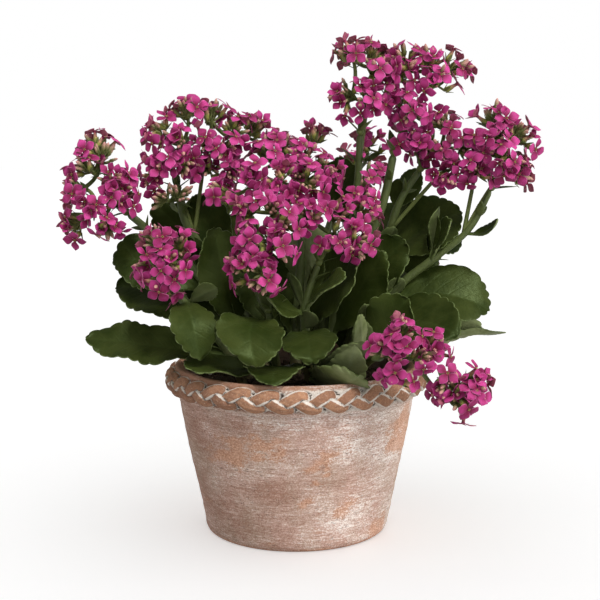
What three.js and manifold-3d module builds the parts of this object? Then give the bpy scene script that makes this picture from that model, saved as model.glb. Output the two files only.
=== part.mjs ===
// A flowering kalanchoe in a whitewashed terracotta pot with a plaited rim.
// Millimetres, +Z up. The origin is the middle of the pot's underside, and the plant's front faces -Y.
// The pot holds compost, shoots rise out of the compost, and every leaf and flower head grows from a shoot.
import * as THREE from "three";
import { mergeVertices } from "three/addons/utils/BufferGeometryUtils.js";
import Module from "manifold-3d";

const wasm = await Module();
wasm.setup();

// ---------------------------------------------------------------- driving sizes
const GAP = 0.3; // clearance between two pieces that touch
const FINEST = 0.02; // shortest edge, and least height of a triangle, that a cut piece keeps
const ONE_POINT = 1e-4; // corners closer than this are the same corner
const CLEARING_ROUNDS = 5; // how often a cut piece is gone over for thin triangles
const HALVINGS = 30; // steps of the search for a height along a shoot

const POT = {
  height: 102,
  footRadius: 54.5,
  footCorner: 3, // height of the worn edge round the foot
  footEase: 1.5, // how much wider the body is above that edge
  bodyTopRadius: 72, // where the tapered body meets the rim
  rimBottom: 84.5,
  rimBulge: 7.8, // how far the plaited roll stands out from the body
  rimOutline: [[0, 0], [0.8, 0.2], [1, 0.45], [0.65, 0.85], [0, 1]], // shares of its bulge and its height
  rimSteps: 6,
  wall: 6,
  floor: 8,
  lipDrop: 3, // from the top of the rim to the inner edge
  segments: 44,
};

const COMPOST = { top: 89, crown: 2.5, crownShare: 0.55 };

const LEAF = {
  petioleShare: 0.14, // of the leaf's length
  petioleWidth: 4.4,
  thickness: 2.2, // along the midrib
  edgeThickness: 1.0,
  cup: 0.18, // rise of the margins over half the width
  rows: 8,
  start: 0.02, // where along its spine the petiole and the tip are cut off square
  end: 0.99,
  scallop: 0.05, // of half the width
};

const FLOWER = {
  petals: 4,
  petalReach: 7.6, // from the flower's axis to a petal's tip
  notchReach: 3.9, // from the axis to the notch between two petals
  petalDroop: 1.1,
  tubeLength: 8.5,
  tubeRadius: 1.5,
  stalkLength: 13, // the tube and the flower's own stalk together
  unevenness: 1.2, // how much further out some flowers open than others
  drawIn: 0.25, // how far an umbel's flowers lean in towards the way it faces
  smallDrawIn: 0.8,
  turn: 1.1, // how far each umbel is turned about its own axis from the last, in radians
};

const STALK = { hubRadius: 2.6, radius: 1.3, bend: 0.4, rings: [0.5, 1] };
const STEM = { sides: 6, steps: 7 };
const COLLAR = { thickness: 1.2, length: 5 }; // the ring round a shoot that joins two leaves at one height
const HUB_FACES = [
  [1, 1, 1],
  [1, 1, -1],
  [1, -1, 1],
  [-1, 1, 1],
  [1, -1, -1],
  [-1, 1, -1],
  [-1, -1, 1],
  [-1, -1, -1],
];

const FINISH = {
  terracotta: { color: 0xc9a592, roughness: 0.92, metalness: 0 },
  compost: { color: 0x2a1d15, roughness: 1, metalness: 0 },
  stem: { color: 0x55682c, roughness: 0.55, metalness: 0 },
  leaf: { color: 0x2c4520, roughness: 0.42, metalness: 0 },
  petal: { color: 0xa81f72, roughness: 0.6, metalness: 0 },
};

// Each shoot: its centre line from inside the compost to its top, and its radius at the two ends.
const SHOOTS = {
  a: {
    path: [[12, 5, 76], [22, 7, 125], [42, 7, 170], [52, 4, 198], [58, 0, 228]],
    from: 4.2,
    to: 2.8,
  },
  b: {
    path: [[27, -3, 76], [42, -3, 122], [64, 0, 150], [82, -3, 167], [101, -8, 185], [110, -10, 207]],
    from: 3.8,
    to: 2.6,
  },
  c: {
    path: [[-26, -2, 76], [-38, 0, 122], [-66, 2, 162], [-91, 0, 184], [-101, -4, 193]],
    from: 3.8,
    to: 2.6,
  },
  d: {
    path: [[-16, 12, 76], [-28, 16, 125], [-50, 16, 162], [-68, 12, 186], [-72, 10, 206]],
    from: 3.6,
    to: 2.5,
  },
  e: {
    path: [[-1, 8, 76], [0, 8, 125], [3, 8, 170], [1, 6, 202]],
    from: 4.0,
    to: 2.8,
  },
  f: {
    path: [[9, -12, 76], [7, -19, 108], [5, -28, 139], [13, -30, 165]],
    from: 3.6,
    to: 2.6,
  },
  g: {
    path: [[-9, -13, 76], [-13, -24, 112], [-16, -33, 138]],
    from: 3.6,
    to: 2.6,
  },
  h: {
    path: [[-27, -18, 76], [-38, -22, 108], [-54, -28, 130], [-68, -36, 147]],
    from: 3.4,
    to: 2.5,
  },
  j: {
    path: [[30, -20, 76], [38, -34, 104], [47, -54, 116], [52, -68, 119]],
    from: 3.4,
    to: 2.4,
  },
  k: {
    path: [[8, 28, 76], [12, 36, 125], [18, 50, 170], [26, 62, 194]],
    from: 3.8,
    to: 2.7,
  },
  l: {
    path: [[2, 18, 76], [16, 20, 125], [32, 16, 175], [37, 9, 212], [38, 3, 240]],
    from: 3.6,
    to: 2.4,
  },
  m: {
    path: [[24, 13, 76], [37, 18, 125], [54, 14, 172], [63, 8, 200], [74, 5, 218]],
    from: 3.6,
    to: 2.4,
  },
  n: {
    path: [[-13, 26, 76], [-20, 38, 125], [-36, 56, 165], [-42, 62, 174]],
    from: 3.6,
    to: 2.6,
  },
  o: {
    path: [[25, 28, 76], [42, 34, 115], [72, 48, 145], [88, 55, 158]],
    from: 3.6,
    to: 2.6,
  },
};

// Each leaf, or two leaves that share a base: the shoot and the height where they leave it, and for each
// blade its tip, how far its middle bends away from the straight line, its width, and its roll about the
// midrib, in degrees.
const LEAVES = {
  left_low: {
    shoot: "h",
    height: 110,
    blades: [{ tip: [-125, -26, 121], bend: [0, 0, 5], width: 40, roll: -30 }],
  },
  left_hanging: {
    shoot: "h",
    height: 142,
    blades: [{ tip: [-56, -64, 118], bend: [-3, -4, 10], width: 32, roll: 0 }],
  },
  left_upright: {
    shoot: "c",
    height: 114,
    blades: [{ tip: [-50, -8, 184], bend: [0, 0, 0], width: 38, roll: -80 }],
  },
  left_under: {
    shoot: "c",
    height: 122,
    blades: [{ tip: [-106, 12, 143], bend: [0, 0, 9], width: 36, roll: -35 }],
  },
  left_mid: {
    shoot: "c",
    height: 139,
    blades: [{ tip: [-112, 6, 164], bend: [0, 0, 8], width: 40, roll: -55 }],
  },
  left_back: {
    shoot: "d",
    height: 136,
    blades: [
      { tip: [-90, 34, 196], bend: [0, 0, 3], width: 30, roll: -60 },
      { tip: [-38, 66, 190], bend: [0, 0, 0], width: 30, roll: 0 },
    ],
  },
  left_tall: {
    shoot: "d",
    height: 150,
    blades: [{ tip: [-63, 18, 202], bend: [0, 0, 3], width: 28, roll: -70 }],
  },
  front_pair: {
    shoot: "g",
    height: 96,
    blades: [
      { tip: [-62, -62, 110], bend: [0, -2, 3], width: 32, roll: -15 },
      { tip: [-13, -77, 104], bend: [0, 0, 7], width: 34, roll: 0 },
    ],
  },
  front_cupped: {
    shoot: "f",
    height: 100,
    blades: [{ tip: [38, -64, 126], bend: [0, 0, -7], width: 21, roll: -20 }],
  },
  front_under: {
    shoot: "f",
    height: 136,
    blades: [{ tip: [-17, -46, 148], bend: [0, 0, -2], width: 18, roll: -40 }],
  },
  front_big: {
    shoot: "g",
    height: 130,
    blades: [{ tip: [-22, -73, 113], bend: [-7, -4, 11], width: 38, roll: -8 }],
  },
  front_rim: {
    shoot: "f",
    height: 94,
    blades: [{ tip: [34, -76, 106], bend: [0, -4, 1], width: 32, roll: -14 }],
  },
  front_right: {
    shoot: "f",
    height: 124,
    blades: [{ tip: [8, -62, 113], bend: [0, -2, 5], width: 33, roll: 6 }],
  },
  front_small: {
    shoot: "f",
    height: 138,
    blades: [{ tip: [27, -52, 160], bend: [0, 0, 3], width: 20, roll: 40 }],
  },
  front_upright: {
    shoot: "e",
    height: 114,
    blades: [
      { tip: [38, -20, 172], bend: [0, 0, 3], width: 46, roll: 60 },
      { tip: [-34, -2, 170], bend: [0, 0, 0], width: 38, roll: -75 },
    ],
  },
  right_upright: {
    shoot: "a",
    height: 112,
    blades: [{ tip: [52, -8, 170], bend: [0, 0, 0], width: 38, roll: 75 }],
  },
  right_inner: {
    shoot: "a",
    height: 126,
    blades: [{ tip: [66, 2, 176], bend: [0, 0, 2], width: 34, roll: 65 }],
  },
  right_pair: {
    shoot: "j",
    height: 104,
    blades: [
      { tip: [64, -44, 147], bend: [0, 0, 2], width: 32, roll: 75 },
      { tip: [36, -60, 140], bend: [0, 0, 0], width: 12, roll: 50 },
    ],
  },
  right_pale: {
    shoot: "b",
    height: 110,
    blades: [{ tip: [117, 2, 124], bend: [0, 0, 3], width: 34, roll: -55 }],
  },
  right_lower: {
    shoot: "b",
    height: 120,
    blades: [{ tip: [93, -42, 129], bend: [0, 0, 9], width: 38, roll: 45 }],
  },
  right_big: {
    shoot: "b",
    height: 138,
    blades: [{ tip: [115, -12, 140], bend: [0, 0, 9], width: 44, roll: 45 }],
  },
  right_twin: {
    shoot: "b",
    height: 164,
    blades: [
      { tip: [91, -18, 189], bend: [0, 0, 2], width: 18, roll: 60 },
      { tip: [100, 30, 178], bend: [0, 0, 3], width: 20, roll: 60 },
    ],
  },
  right_broad: {
    shoot: "m",
    height: 160,
    blades: [
      { tip: [102, 12, 199], bend: [0, 0, 5], width: 40, roll: 55 },
      { tip: [66, 58, 196], bend: [0, 0, 0], width: 30, roll: 0 },
    ],
  },
  top_small: {
    shoot: "m",
    height: 192,
    blades: [{ tip: [75, 24, 218], bend: [0, 0, 0], width: 15, roll: 60 }],
  },
  top_tall: {
    shoot: "l",
    height: 178,
    blades: [{ tip: [26, 30, 225], bend: [0, 0, 0], width: 30, roll: -60 }],
  },
  back_middle: {
    shoot: "k",
    height: 112,
    blades: [
      { tip: [14, 102, 126], bend: [0, 0, 8], width: 38, roll: 0 },
      { tip: [8, 18, 184], bend: [0, 0, 0], width: 40, roll: 0 },
    ],
  },
  back_left: {
    shoot: "n",
    height: 108,
    blades: [
      { tip: [-62, 88, 124], bend: [0, 0, 8], width: 38, roll: 0 },
      { tip: [-20, 98, 120], bend: [0, 0, 8], width: 34, roll: 0 },
    ],
  },
  back_far_left: {
    shoot: "d",
    height: 112,
    blades: [
      { tip: [-100, 46, 138], bend: [0, 0, 8], width: 38, roll: 0 },
      { tip: [-72, 66, 150], bend: [0, 0, 5], width: 34, roll: 0 },
    ],
  },
  back_right: {
    shoot: "o",
    height: 104,
    blades: [
      { tip: [84, 88, 122], bend: [0, 0, 8], width: 38, roll: 0 },
      { tip: [50, 98, 118], bend: [0, 0, 8], width: 34, roll: 0 },
    ],
  },
  back_far_right: {
    shoot: "o",
    height: 118,
    blades: [
      { tip: [118, 44, 142], bend: [0, 0, 8], width: 38, roll: 0 },
      { tip: [76, 80, 164], bend: [0, 0, 3], width: 32, roll: 0 },
    ],
  },
};

// Each flower head: the shoot it grows from, and its umbels, nearest the shoot first. An umbel is a small
// spray of flowers: where the middle of the spray opens, the way it faces, and how many flowers it has.
const HEADS = {
  top_left: {
    shoot: "l",
    umbels: [
      { at: [44, -14, 261], facing: [0.1, -1, 0.2], flowers: 4 },
      { at: [27, -9, 266], facing: [-0.7, -0.6, 0.3], flowers: 4 },
      { at: [30, -6, 295], facing: [-0.4, -0.4, 0.8], flowers: 5 },
      { at: [47, 15, 293], facing: [0.2, 0.4, 0.9], flowers: 3 },
      { at: [49, -13, 278], facing: [0.2, -0.9, 0.3], flowers: 4 },
    ],
  },
  top_right: {
    shoot: "a",
    umbels: [
      { at: [68, -13, 255], facing: [0.1, -1, 0.2], flowers: 4 },
      { at: [58, 6, 251], facing: [-0.8, -0.2, 0.1], flowers: 3 },
      { at: [84, -12, 272], facing: [0.2, -0.9, 0.2], flowers: 4 },
      { at: [81, 4, 291], facing: [0.1, -0.2, 1], flowers: 3 },
      { at: [67, 2, 298], facing: [-0.3, -0.2, 0.9], flowers: 4 },
      { at: [103, 2, 279], facing: [0.9, -0.2, 0.3], flowers: 3 },
    ],
  },
  right_inner: {
    shoot: "m",
    umbels: [
      { at: [73, -2, 232], facing: [-0.6, -0.8, 0.1], flowers: 3 },
      { at: [87, -12, 232], facing: [0.1, -1, 0.1], flowers: 4 },
      { at: [90, 0, 254], facing: [-0.1, -0.2, 1], flowers: 4 },
      { at: [89, -14, 214], facing: [0, -0.9, -0.3], flowers: 3 },
    ],
  },
  right_outer: {
    shoot: "b",
    umbels: [
      { at: [109, -19, 229], facing: [-0.2, -1, 0], flowers: 4 },
      { at: [126, -26, 224], facing: [0.3, -0.9, -0.1], flowers: 4 },
      { at: [142, -12, 219], facing: [0.9, -0.4, -0.1], flowers: 3 },
      { at: [118, -20, 242], facing: [0.1, -0.8, 0.5], flowers: 3 },
      { at: [114, -4, 257], facing: [-0.2, 0, 1], flowers: 4 },
      { at: [142, -8, 247], facing: [0.7, -0.2, 0.6], flowers: 4 },
    ],
  },
  far_left: {
    shoot: "c",
    umbels: [
      { at: [-104, -24, 202], facing: [0.3, -0.9, 0], flowers: 4 },
      { at: [-113, -26, 185], facing: [0.1, -0.8, -0.5], flowers: 3 },
      { at: [-122, -27, 198], facing: [-0.3, -0.9, -0.1], flowers: 3 },
      { at: [-138, -14, 186], facing: [-0.8, -0.3, -0.5], flowers: 3 },
      { at: [-107, -18, 218], facing: [0.2, -0.8, 0.5], flowers: 4 },
      { at: [-142, -12, 210], facing: [-0.9, -0.3, 0.1], flowers: 4 },
      { at: [-129, -12, 224], facing: [-0.7, -0.4, 0.5], flowers: 3 },
      { at: [-120, -4, 240], facing: [-0.2, 0, 1], flowers: 4 },
    ],
  },
  left: {
    shoot: "d",
    umbels: [
      { at: [-84, -4, 222], facing: [-0.4, -0.9, 0], flowers: 3 },
      { at: [-70, -7, 237], facing: [-0.1, -0.9, 0.3], flowers: 4 },
      { at: [-53, -5, 236], facing: [0.1, -1, 0.2], flowers: 4 },
      { at: [-87, 4, 243], facing: [-0.7, -0.3, 0.6], flowers: 4 },
      { at: [-68, 10, 260], facing: [-0.2, 0, 1], flowers: 4 },
      { at: [-50, 14, 259], facing: [0.1, 0.1, 1], flowers: 3 },
      { at: [-35, 7, 249], facing: [0.3, -0.5, 0.8], flowers: 4 },
      { at: [-20, 19, 248], facing: [0.7, 0.1, 0.7], flowers: 3 },
      { at: [-66, -6, 220], facing: [0.2, -0.9, -0.3], flowers: 3 },
      { at: [-40, -7, 232], facing: [0.3, -0.9, 0.1], flowers: 3 },
    ],
  },
  middle: {
    shoot: "e",
    umbels: [
      { at: [9, -30, 212], facing: [0.3, -0.9, 0.1], flowers: 3 },
      { at: [-9, -31, 217], facing: [0, -0.9, 0.4], flowers: 4 },
      { at: [-30, -26, 216], facing: [-0.5, -0.8, 0.4], flowers: 4 },
      { at: [-51, -20, 207], facing: [-0.9, -0.4, 0.2], flowers: 3 },
      { at: [24, -14, 221], facing: [0.7, -0.6, 0.3], flowers: 4 },
      { at: [5, -4, 236], facing: [0.1, -0.3, 0.9], flowers: 4 },
      { at: [-20, -2, 236], facing: [-0.3, -0.2, 0.9], flowers: 4 },
      { at: [20, 19, 245], facing: [0.2, 0.2, 1], flowers: 3 },
    ],
  },
  middle_right: {
    shoot: "f",
    umbels: [
      { at: [25, -46, 180], facing: [0.2, -1, -0.1], flowers: 4 },
      { at: [41, -36, 177], facing: [0.7, -0.7, -0.1], flowers: 4 },
      { at: [7, -46, 195], facing: [0, -1, 0.2], flowers: 3 },
      { at: [26, -38, 198], facing: [0.3, -0.8, 0.5], flowers: 3 },
      { at: [45, -24, 197], facing: [0.7, -0.5, 0.5], flowers: 4 },
    ],
  },
  middle_low: {
    shoot: "g",
    umbels: [
      { at: [-17, -61, 159], facing: [0.1, -1, -0.2], flowers: 4 },
      { at: [-36, -56, 166], facing: [-0.7, -0.7, 0], flowers: 4 },
      { at: [-8, -60, 179], facing: [0.3, -0.9, 0.1], flowers: 4 },
      { at: [-28, -55, 183], facing: [-0.4, -0.9, 0.1], flowers: 4 },
      { at: [-13, -50, 198], facing: [0, -1, 0.2], flowers: 3 },
      { at: [-33, -42, 200], facing: [-0.6, -0.8, 0.3], flowers: 4 },
    ],
  },
  left_low: {
    shoot: "h",
    umbels: [
      { at: [-77, -55, 152], facing: [-0.1, -0.8, -0.5], flowers: 4 },
      { at: [-91, -46, 165], facing: [-0.8, -0.6, 0], flowers: 3 },
      { at: [-71, -59, 169], facing: [0.2, -1, 0.1], flowers: 3 },
      { at: [-62, -47, 182], facing: [0.5, -0.6, 0.5], flowers: 4 },
      { at: [-82, -43, 187], facing: [-0.4, -0.3, 0.8], flowers: 4 },
    ],
  },
  front_low: {
    shoot: "j",
    umbels: [
      { at: [53, -98, 112], facing: [-0.1, -0.9, -0.2], flowers: 4 },
      { at: [69, -90, 124], facing: [0.5, -0.8, 0.3], flowers: 3 },
      { at: [46, -96, 127], facing: [-0.5, -0.8, 0.3], flowers: 4 },
      { at: [58, -84, 141], facing: [0.1, -0.3, 0.9], flowers: 4 },
      { at: [92, -84, 110], facing: [0.3, -0.5, 0.8], flowers: 4 },
      { at: [92, -90, 93], facing: [0.1, -0.9, -0.3], flowers: 4 },
    ],
  },
  back: {
    shoot: "k",
    umbels: [
      { at: [32, 76, 228], facing: [-0.3, 0.3, 0.9], flowers: 4 },
      { at: [38, 92, 210], facing: [0, 0.9, 0.3], flowers: 4 },
      { at: [54, 80, 220], facing: [0.6, 0.4, 0.7], flowers: 4 },
      { at: [45, 40, 242], facing: [0, -0.2, 1], flowers: 4 },
    ],
  },
  back_left: {
    shoot: "n",
    umbels: [
      { at: [-50, 86, 184], facing: [-0.1, 1, 0.1], flowers: 4 },
      { at: [-64, 74, 196], facing: [-0.7, 0.3, 0.6], flowers: 4 },
      { at: [-40, 72, 203], facing: [0.3, 0.2, 0.9], flowers: 4 },
    ],
  },
  back_right: {
    shoot: "o",
    umbels: [
      { at: [98, 80, 172], facing: [0, 0.9, 0.3], flowers: 4 },
      { at: [96, 56, 190], facing: [-0.2, -0.1, 1], flowers: 4 },
      { at: [116, 66, 178], facing: [0.8, 0.4, 0.4], flowers: 4 },
    ],
  },
};

// ---------------------------------------------------------------- helpers
const vector = ([x, y, z]) => new THREE.Vector3(x, y, z);

// A closed mesh as a manifold solid, and back.
function toSolid(geometry) {
  const bare = new THREE.BufferGeometry();
  bare.setAttribute("position", geometry.getAttribute("position"));
  bare.setIndex(geometry.index);
  const merged = mergeVertices(bare, ONE_POINT);
  return new wasm.Manifold(
    new wasm.Mesh({
      numProp: 3,
      vertProperties: new Float32Array(merged.attributes.position.array),
      triVerts: new Uint32Array(merged.index.array),
    }),
  );
}

// The largest body alone, without the slivers that a cut or crossing petals can leave.
function outerSkin(solid) {
  const larger = (best, body) => (body.volume() > best.volume() ? body : best);
  return solid.decompose().reduce(larger);
}

// The faces that are left once every edge shorter than the finest is closed up to one of its ends.
function closeShortEdges(points, faces) {
  const kept = points.map((_, i) => i);
  const home = (i) => (kept[i] === i ? i : home(kept[i]));
  for (const [a, b, c] of faces) {
    for (const [from, to] of [[a, b], [b, c], [c, a]]) {
      if (points[from].distanceTo(points[to]) < FINEST) kept[home(from)] = home(to);
    }
  }
  const moved = faces.map((face) => face.map(home));
  return moved.filter(([a, b, c]) => a !== b && b !== c && c !== a);
}

// Turns the longest edge of every triangle thinner than the finest, so that the triangle shares its
// neighbour's room. Its third corner lies all but on that edge, so the surface stays where it is.
function turnThinFaces(points, faces) {
  const owner = new Map();
  faces.forEach((face, f) => face.forEach((from, k) => owner.set(`${from},${face[(k + 1) % 3]}`, f)));
  const touched = new Set();
  faces.forEach((face, f) => {
    const length = (k) => points[face[k]].distanceTo(points[face[(k + 1) % 3]]);
    const longest = [0, 1, 2].reduce((best, k) => (length(k) > length(best) ? k : best), 0);
    const [a, b, c] = [0, 1, 2].map((k) => face[(longest + k) % 3]);
    const height = (2 * new THREE.Triangle(points[a], points[b], points[c]).getArea()) / length(longest);
    const other = owner.get(`${b},${a}`);
    if (height > FINEST || touched.has(f) || touched.has(other)) return;
    const d = faces[other].find((corner) => corner !== a && corner !== b);
    if (owner.has(`${c},${d}`) || owner.has(`${d},${c}`)) return;
    faces[f] = [c, a, d];
    faces[other] = [d, b, c];
    for (const [from, to] of [[c, d], [d, c]]) owner.set(`${from},${to}`, f);
    touched.add(f).add(other);
  });
}

// A solid as a geometry, without the hair-thin triangles that a cut leaves along its line.
function toGeometry(solid) {
  const mesh = solid.getMesh();
  const threes = (list) => {
    return Array.from({ length: list.length / 3 }, (_, i) => [...list.slice(3 * i, 3 * i + 3)]);
  };
  const points = threes(mesh.vertProperties).map(vector);
  const faces = closeShortEdges(points, threes(mesh.triVerts));
  for (let round = 0; round < CLEARING_ROUNDS; round++) turnThinFaces(points, faces);
  const geometry = new THREE.BufferGeometry();
  const positions = faces.flatMap((face) => face.flatMap((corner) => points[corner].toArray()));
  geometry.setAttribute("position", new THREE.Float32BufferAttribute(positions, 3));
  return geometry;
}

// A closed solid through rings of points that all have the same count, with a flat cap at each end.
function loft(rings) {
  const sides = rings[0].length;
  const positions = rings.flat().flatMap((p) => [p.x, p.y, p.z]);
  const index = [];
  for (let i = 0; i < rings.length - 1; i++) {
    for (let j = 0; j < sides; j++) {
      const a = i * sides + j;
      const b = i * sides + ((j + 1) % sides);
      index.push(a, b, b + sides, a, b + sides, a + sides);
    }
  }
  const last = (rings.length - 1) * sides;
  for (let j = 1; j < sides - 1; j++) {
    index.push(0, j + 1, j);
    index.push(last, last + j, last + j + 1);
  }
  const geometry = new THREE.BufferGeometry();
  geometry.setAttribute("position", new THREE.Float32BufferAttribute(positions, 3));
  geometry.setIndex(index);
  return geometry;
}

// A round tube along a curve, from one radius to another. Its two ends run on past the curve by the overrun.
function taperedTube(curve, from, to, sides, steps, overrun = 0) {
  const frames = curve.computeFrenetFrames(steps, false);
  const rings = [];
  for (let i = 0; i <= steps; i++) {
    const centre = curve.getPointAt(i / steps);
    if (i === 0) centre.addScaledVector(frames.tangents[i], -overrun);
    if (i === steps) centre.addScaledVector(frames.tangents[i], overrun);
    const radius = from + (to - from) * (i / steps);
    const ring = [];
    for (let j = 0; j < sides; j++) {
      const angle = (2 * Math.PI * j) / sides;
      const across = radius * Math.cos(angle);
      const over = radius * Math.sin(angle);
      const point = centre.clone().addScaledVector(frames.normals[i], across);
      ring.push(point.addScaledVector(frames.binormals[i], over));
    }
    rings.push(ring);
  }
  return loft(rings);
}

const shootCurve = (shoot) => new THREE.CatmullRomCurve3(shoot.path.map(vector));

// The shoot as a solid, with a clearance all round it where it cuts its neighbours to fit.
function shootSolid(shoot, clearance) {
  const from = shoot.from + clearance;
  const to = shoot.to + clearance;
  return toSolid(taperedTube(shootCurve(shoot), from, to, STEM.sides, STEM.steps, clearance));
}

// How far along a shoot's centre line it passes a height, found by halving.
function shareAtHeight(curve, height) {
  let [low, high] = [0, 1];
  for (let i = 0; i < HALVINGS; i++) {
    const middle = (low + high) / 2;
    if (curve.getPointAt(middle).z < height) low = middle;
    else high = middle;
  }
  return low;
}

function mesh(name, geometry, finish) {
  const made = new THREE.Mesh(geometry, new THREE.MeshStandardMaterial(FINISH[finish]));
  made.name = name;
  return made;
}

// ---------------------------------------------------------------- pot and compost
// Inside radius of the pot at a height: a straight taper from the inner lip down to the floor.
function innerRadius(height) {
  const share = (height - POT.floor) / (POT.height - POT.lipDrop - POT.floor);
  const atFloor = POT.footRadius + POT.footEase - POT.wall;
  const atLip = POT.bodyTopRadius - POT.wall;
  return atFloor + (atLip - atFloor) * share;
}

// The roll round the top, which the plait is pressed into, from the body up to its top ridge.
function rimProfile() {
  const tall = POT.height - POT.rimBottom;
  const outline = POT.rimOutline.map(([out, up]) => {
    return new THREE.Vector2(POT.bodyTopRadius + POT.rimBulge * out, POT.rimBottom + tall * up);
  });
  return new THREE.SplineCurve(outline).getPoints(POT.rimSteps);
}

function potGeometry() {
  const profile = [
    new THREE.Vector2(0, 0),
    new THREE.Vector2(POT.footRadius, 0),
    new THREE.Vector2(POT.footRadius + POT.footEase, POT.footCorner),
    ...rimProfile(),
    new THREE.Vector2(innerRadius(POT.height - POT.lipDrop), POT.height - POT.lipDrop),
    new THREE.Vector2(innerRadius(POT.floor), POT.floor),
    new THREE.Vector2(0, POT.floor),
  ];
  return new THREE.LatheGeometry(profile, POT.segments).rotateX(Math.PI / 2);
}

// The compost stands clear of the pot by the gap, and its hidden sides have the pot's own straight taper.
function compostSolid() {
  const bottom = POT.floor + GAP;
  const profile = [
    new THREE.Vector2(0, bottom),
    new THREE.Vector2(innerRadius(bottom) - GAP, bottom),
    new THREE.Vector2(innerRadius(COMPOST.top) - GAP, COMPOST.top),
    new THREE.Vector2(innerRadius(COMPOST.top) * COMPOST.crownShare, COMPOST.top + COMPOST.crown),
    new THREE.Vector2(0, COMPOST.top + COMPOST.crown),
  ];
  let solid = toSolid(new THREE.LatheGeometry(profile, POT.segments).rotateX(Math.PI / 2));
  for (const shoot of Object.values(SHOOTS)) {
    solid = solid.subtract(shootSolid(shoot, GAP));
  }
  return solid;
}

// ---------------------------------------------------------------- leaves
// Half width of the blade along its length, as a share of the widest place.
function bladeShare(t) {
  if (t < LEAF.petioleShare) return 0;
  const u = (t - LEAF.petioleShare) / (1 - LEAF.petioleShare);
  return Math.pow(Math.max(0, Math.sin(Math.PI * Math.pow(u, 1.25))), 0.62);
}

// One cross-section: a shallow V, thick at the midrib and thin at the two margins.
function leafRing(centre, side, up, half) {
  const edge = LEAF.edgeThickness / 2;
  const rise = LEAF.cup * half;
  const at = (across, lift) => centre.clone().addScaledVector(side, across).addScaledVector(up, lift);
  return [
    at(-half, rise - edge),
    at(0, -LEAF.thickness / 2),
    at(half, rise - edge),
    at(half, rise + edge),
    at(0, LEAF.thickness / 2),
    at(-half, rise + edge),
  ];
}

function bladeSolid(base, blade) {
  const tip = vector(blade.tip);
  const middle = base.clone().lerp(tip, 0.5).addScaledVector(vector(blade.bend), 2);
  const spine = new THREE.QuadraticBezierCurve3(base, middle, tip);
  const level = new THREE.Vector3(0, 0, 1).cross(tip.clone().sub(base)).normalize();
  const rings = [];
  for (let i = 0; i <= LEAF.rows; i++) {
    const t = LEAF.start + (LEAF.end - LEAF.start) * (i / LEAF.rows);
    const along = spine.getTangent(t);
    const side = level.clone().applyAxisAngle(along, THREE.MathUtils.degToRad(blade.roll));
    const up = along.clone().cross(side).normalize();
    const scallop = 1 + LEAF.scallop * (i % 2 ? 1 : -1);
    const half = Math.max(LEAF.petioleWidth / 2, (blade.width / 2) * bladeShare(t) * scallop);
    rings.push(leafRing(spine.getPoint(t), side, up, half));
  }
  return toSolid(loft(rings));
}

// A short ring round the shoot, which two opposite leaves clasp it with.
function collarSolid(shoot, share) {
  const centre = shootCurve(shoot).getPointAt(share);
  const reach = shootCurve(shoot).getTangentAt(share).multiplyScalar(COLLAR.length / 2);
  const line = new THREE.LineCurve3(centre.clone().sub(reach), centre.clone().add(reach));
  const radius = shoot.from + (shoot.to - shoot.from) * share + GAP + COLLAR.thickness;
  return toSolid(taperedTube(line, radius, radius, STEM.sides, 1));
}

function leafSolid(leaf) {
  const shoot = SHOOTS[leaf.shoot];
  const share = shareAtHeight(shootCurve(shoot), leaf.height);
  const base = shootCurve(shoot).getPointAt(share);
  const pieces = leaf.blades.map((blade) => bladeSolid(base, blade));
  if (pieces.length > 1) pieces.push(collarSolid(shoot, share));
  return outerSkin(wasm.Manifold.union(pieces).subtract(shootSolid(shoot, GAP)));
}

// ---------------------------------------------------------------- flower heads
// The place where an umbel's flower stalks meet.
function umbelHub(umbel) {
  const facing = vector(umbel.facing).normalize();
  return vector(umbel.at).addScaledVector(facing, -FLOWER.stalkLength);
}

// The eight faces of an octahedron whose first face looks the way the umbel faces, as three corners and a
// normal. The order runs from that face to the opposite one, where the umbel's own stalk comes in.
function hubFaces(umbel, turn) {
  const facing = vector(umbel.facing).normalize();
  const tilt = new THREE.Quaternion().setFromUnitVectors(new THREE.Vector3(1, 1, 1).normalize(), facing);
  const spin = new THREE.Quaternion().setFromAxisAngle(facing, turn).multiply(tilt);
  return HUB_FACES.map(([x, y, z]) => {
    const corners = [[x, 0, 0], [0, y, 0], [0, 0, z]].map(vector);
    if (x * y * z < 0) corners.reverse();
    return {
      corners: corners.map((corner) => corner.multiplyScalar(STALK.hubRadius).applyQuaternion(spin)),
      normal: vector([x, y, z]).normalize().applyQuaternion(spin),
    };
  });
}

// Where an umbel's flowers open: one over each face of the hub, drawn in towards the way the umbel faces,
// some standing a little further out than others. A small umbel has no middle flower and is drawn in more.
function flowerAxes(umbel, turn) {
  const facing = vector(umbel.facing).normalize();
  const small = umbel.flowers < 4;
  const drawIn = small ? FLOWER.smallDrawIn : FLOWER.drawIn;
  return hubFaces(umbel, turn).map((face, i) => ({
    ...face,
    bears: small ? i > 0 && i <= umbel.flowers : i < umbel.flowers,
    outward: face.normal.clone().addScaledVector(facing, drawIn).normalize(),
    reach: FLOWER.stalkLength + FLOWER.unevenness * Math.sin(2.4 * i + turn),
  }));
}

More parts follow.
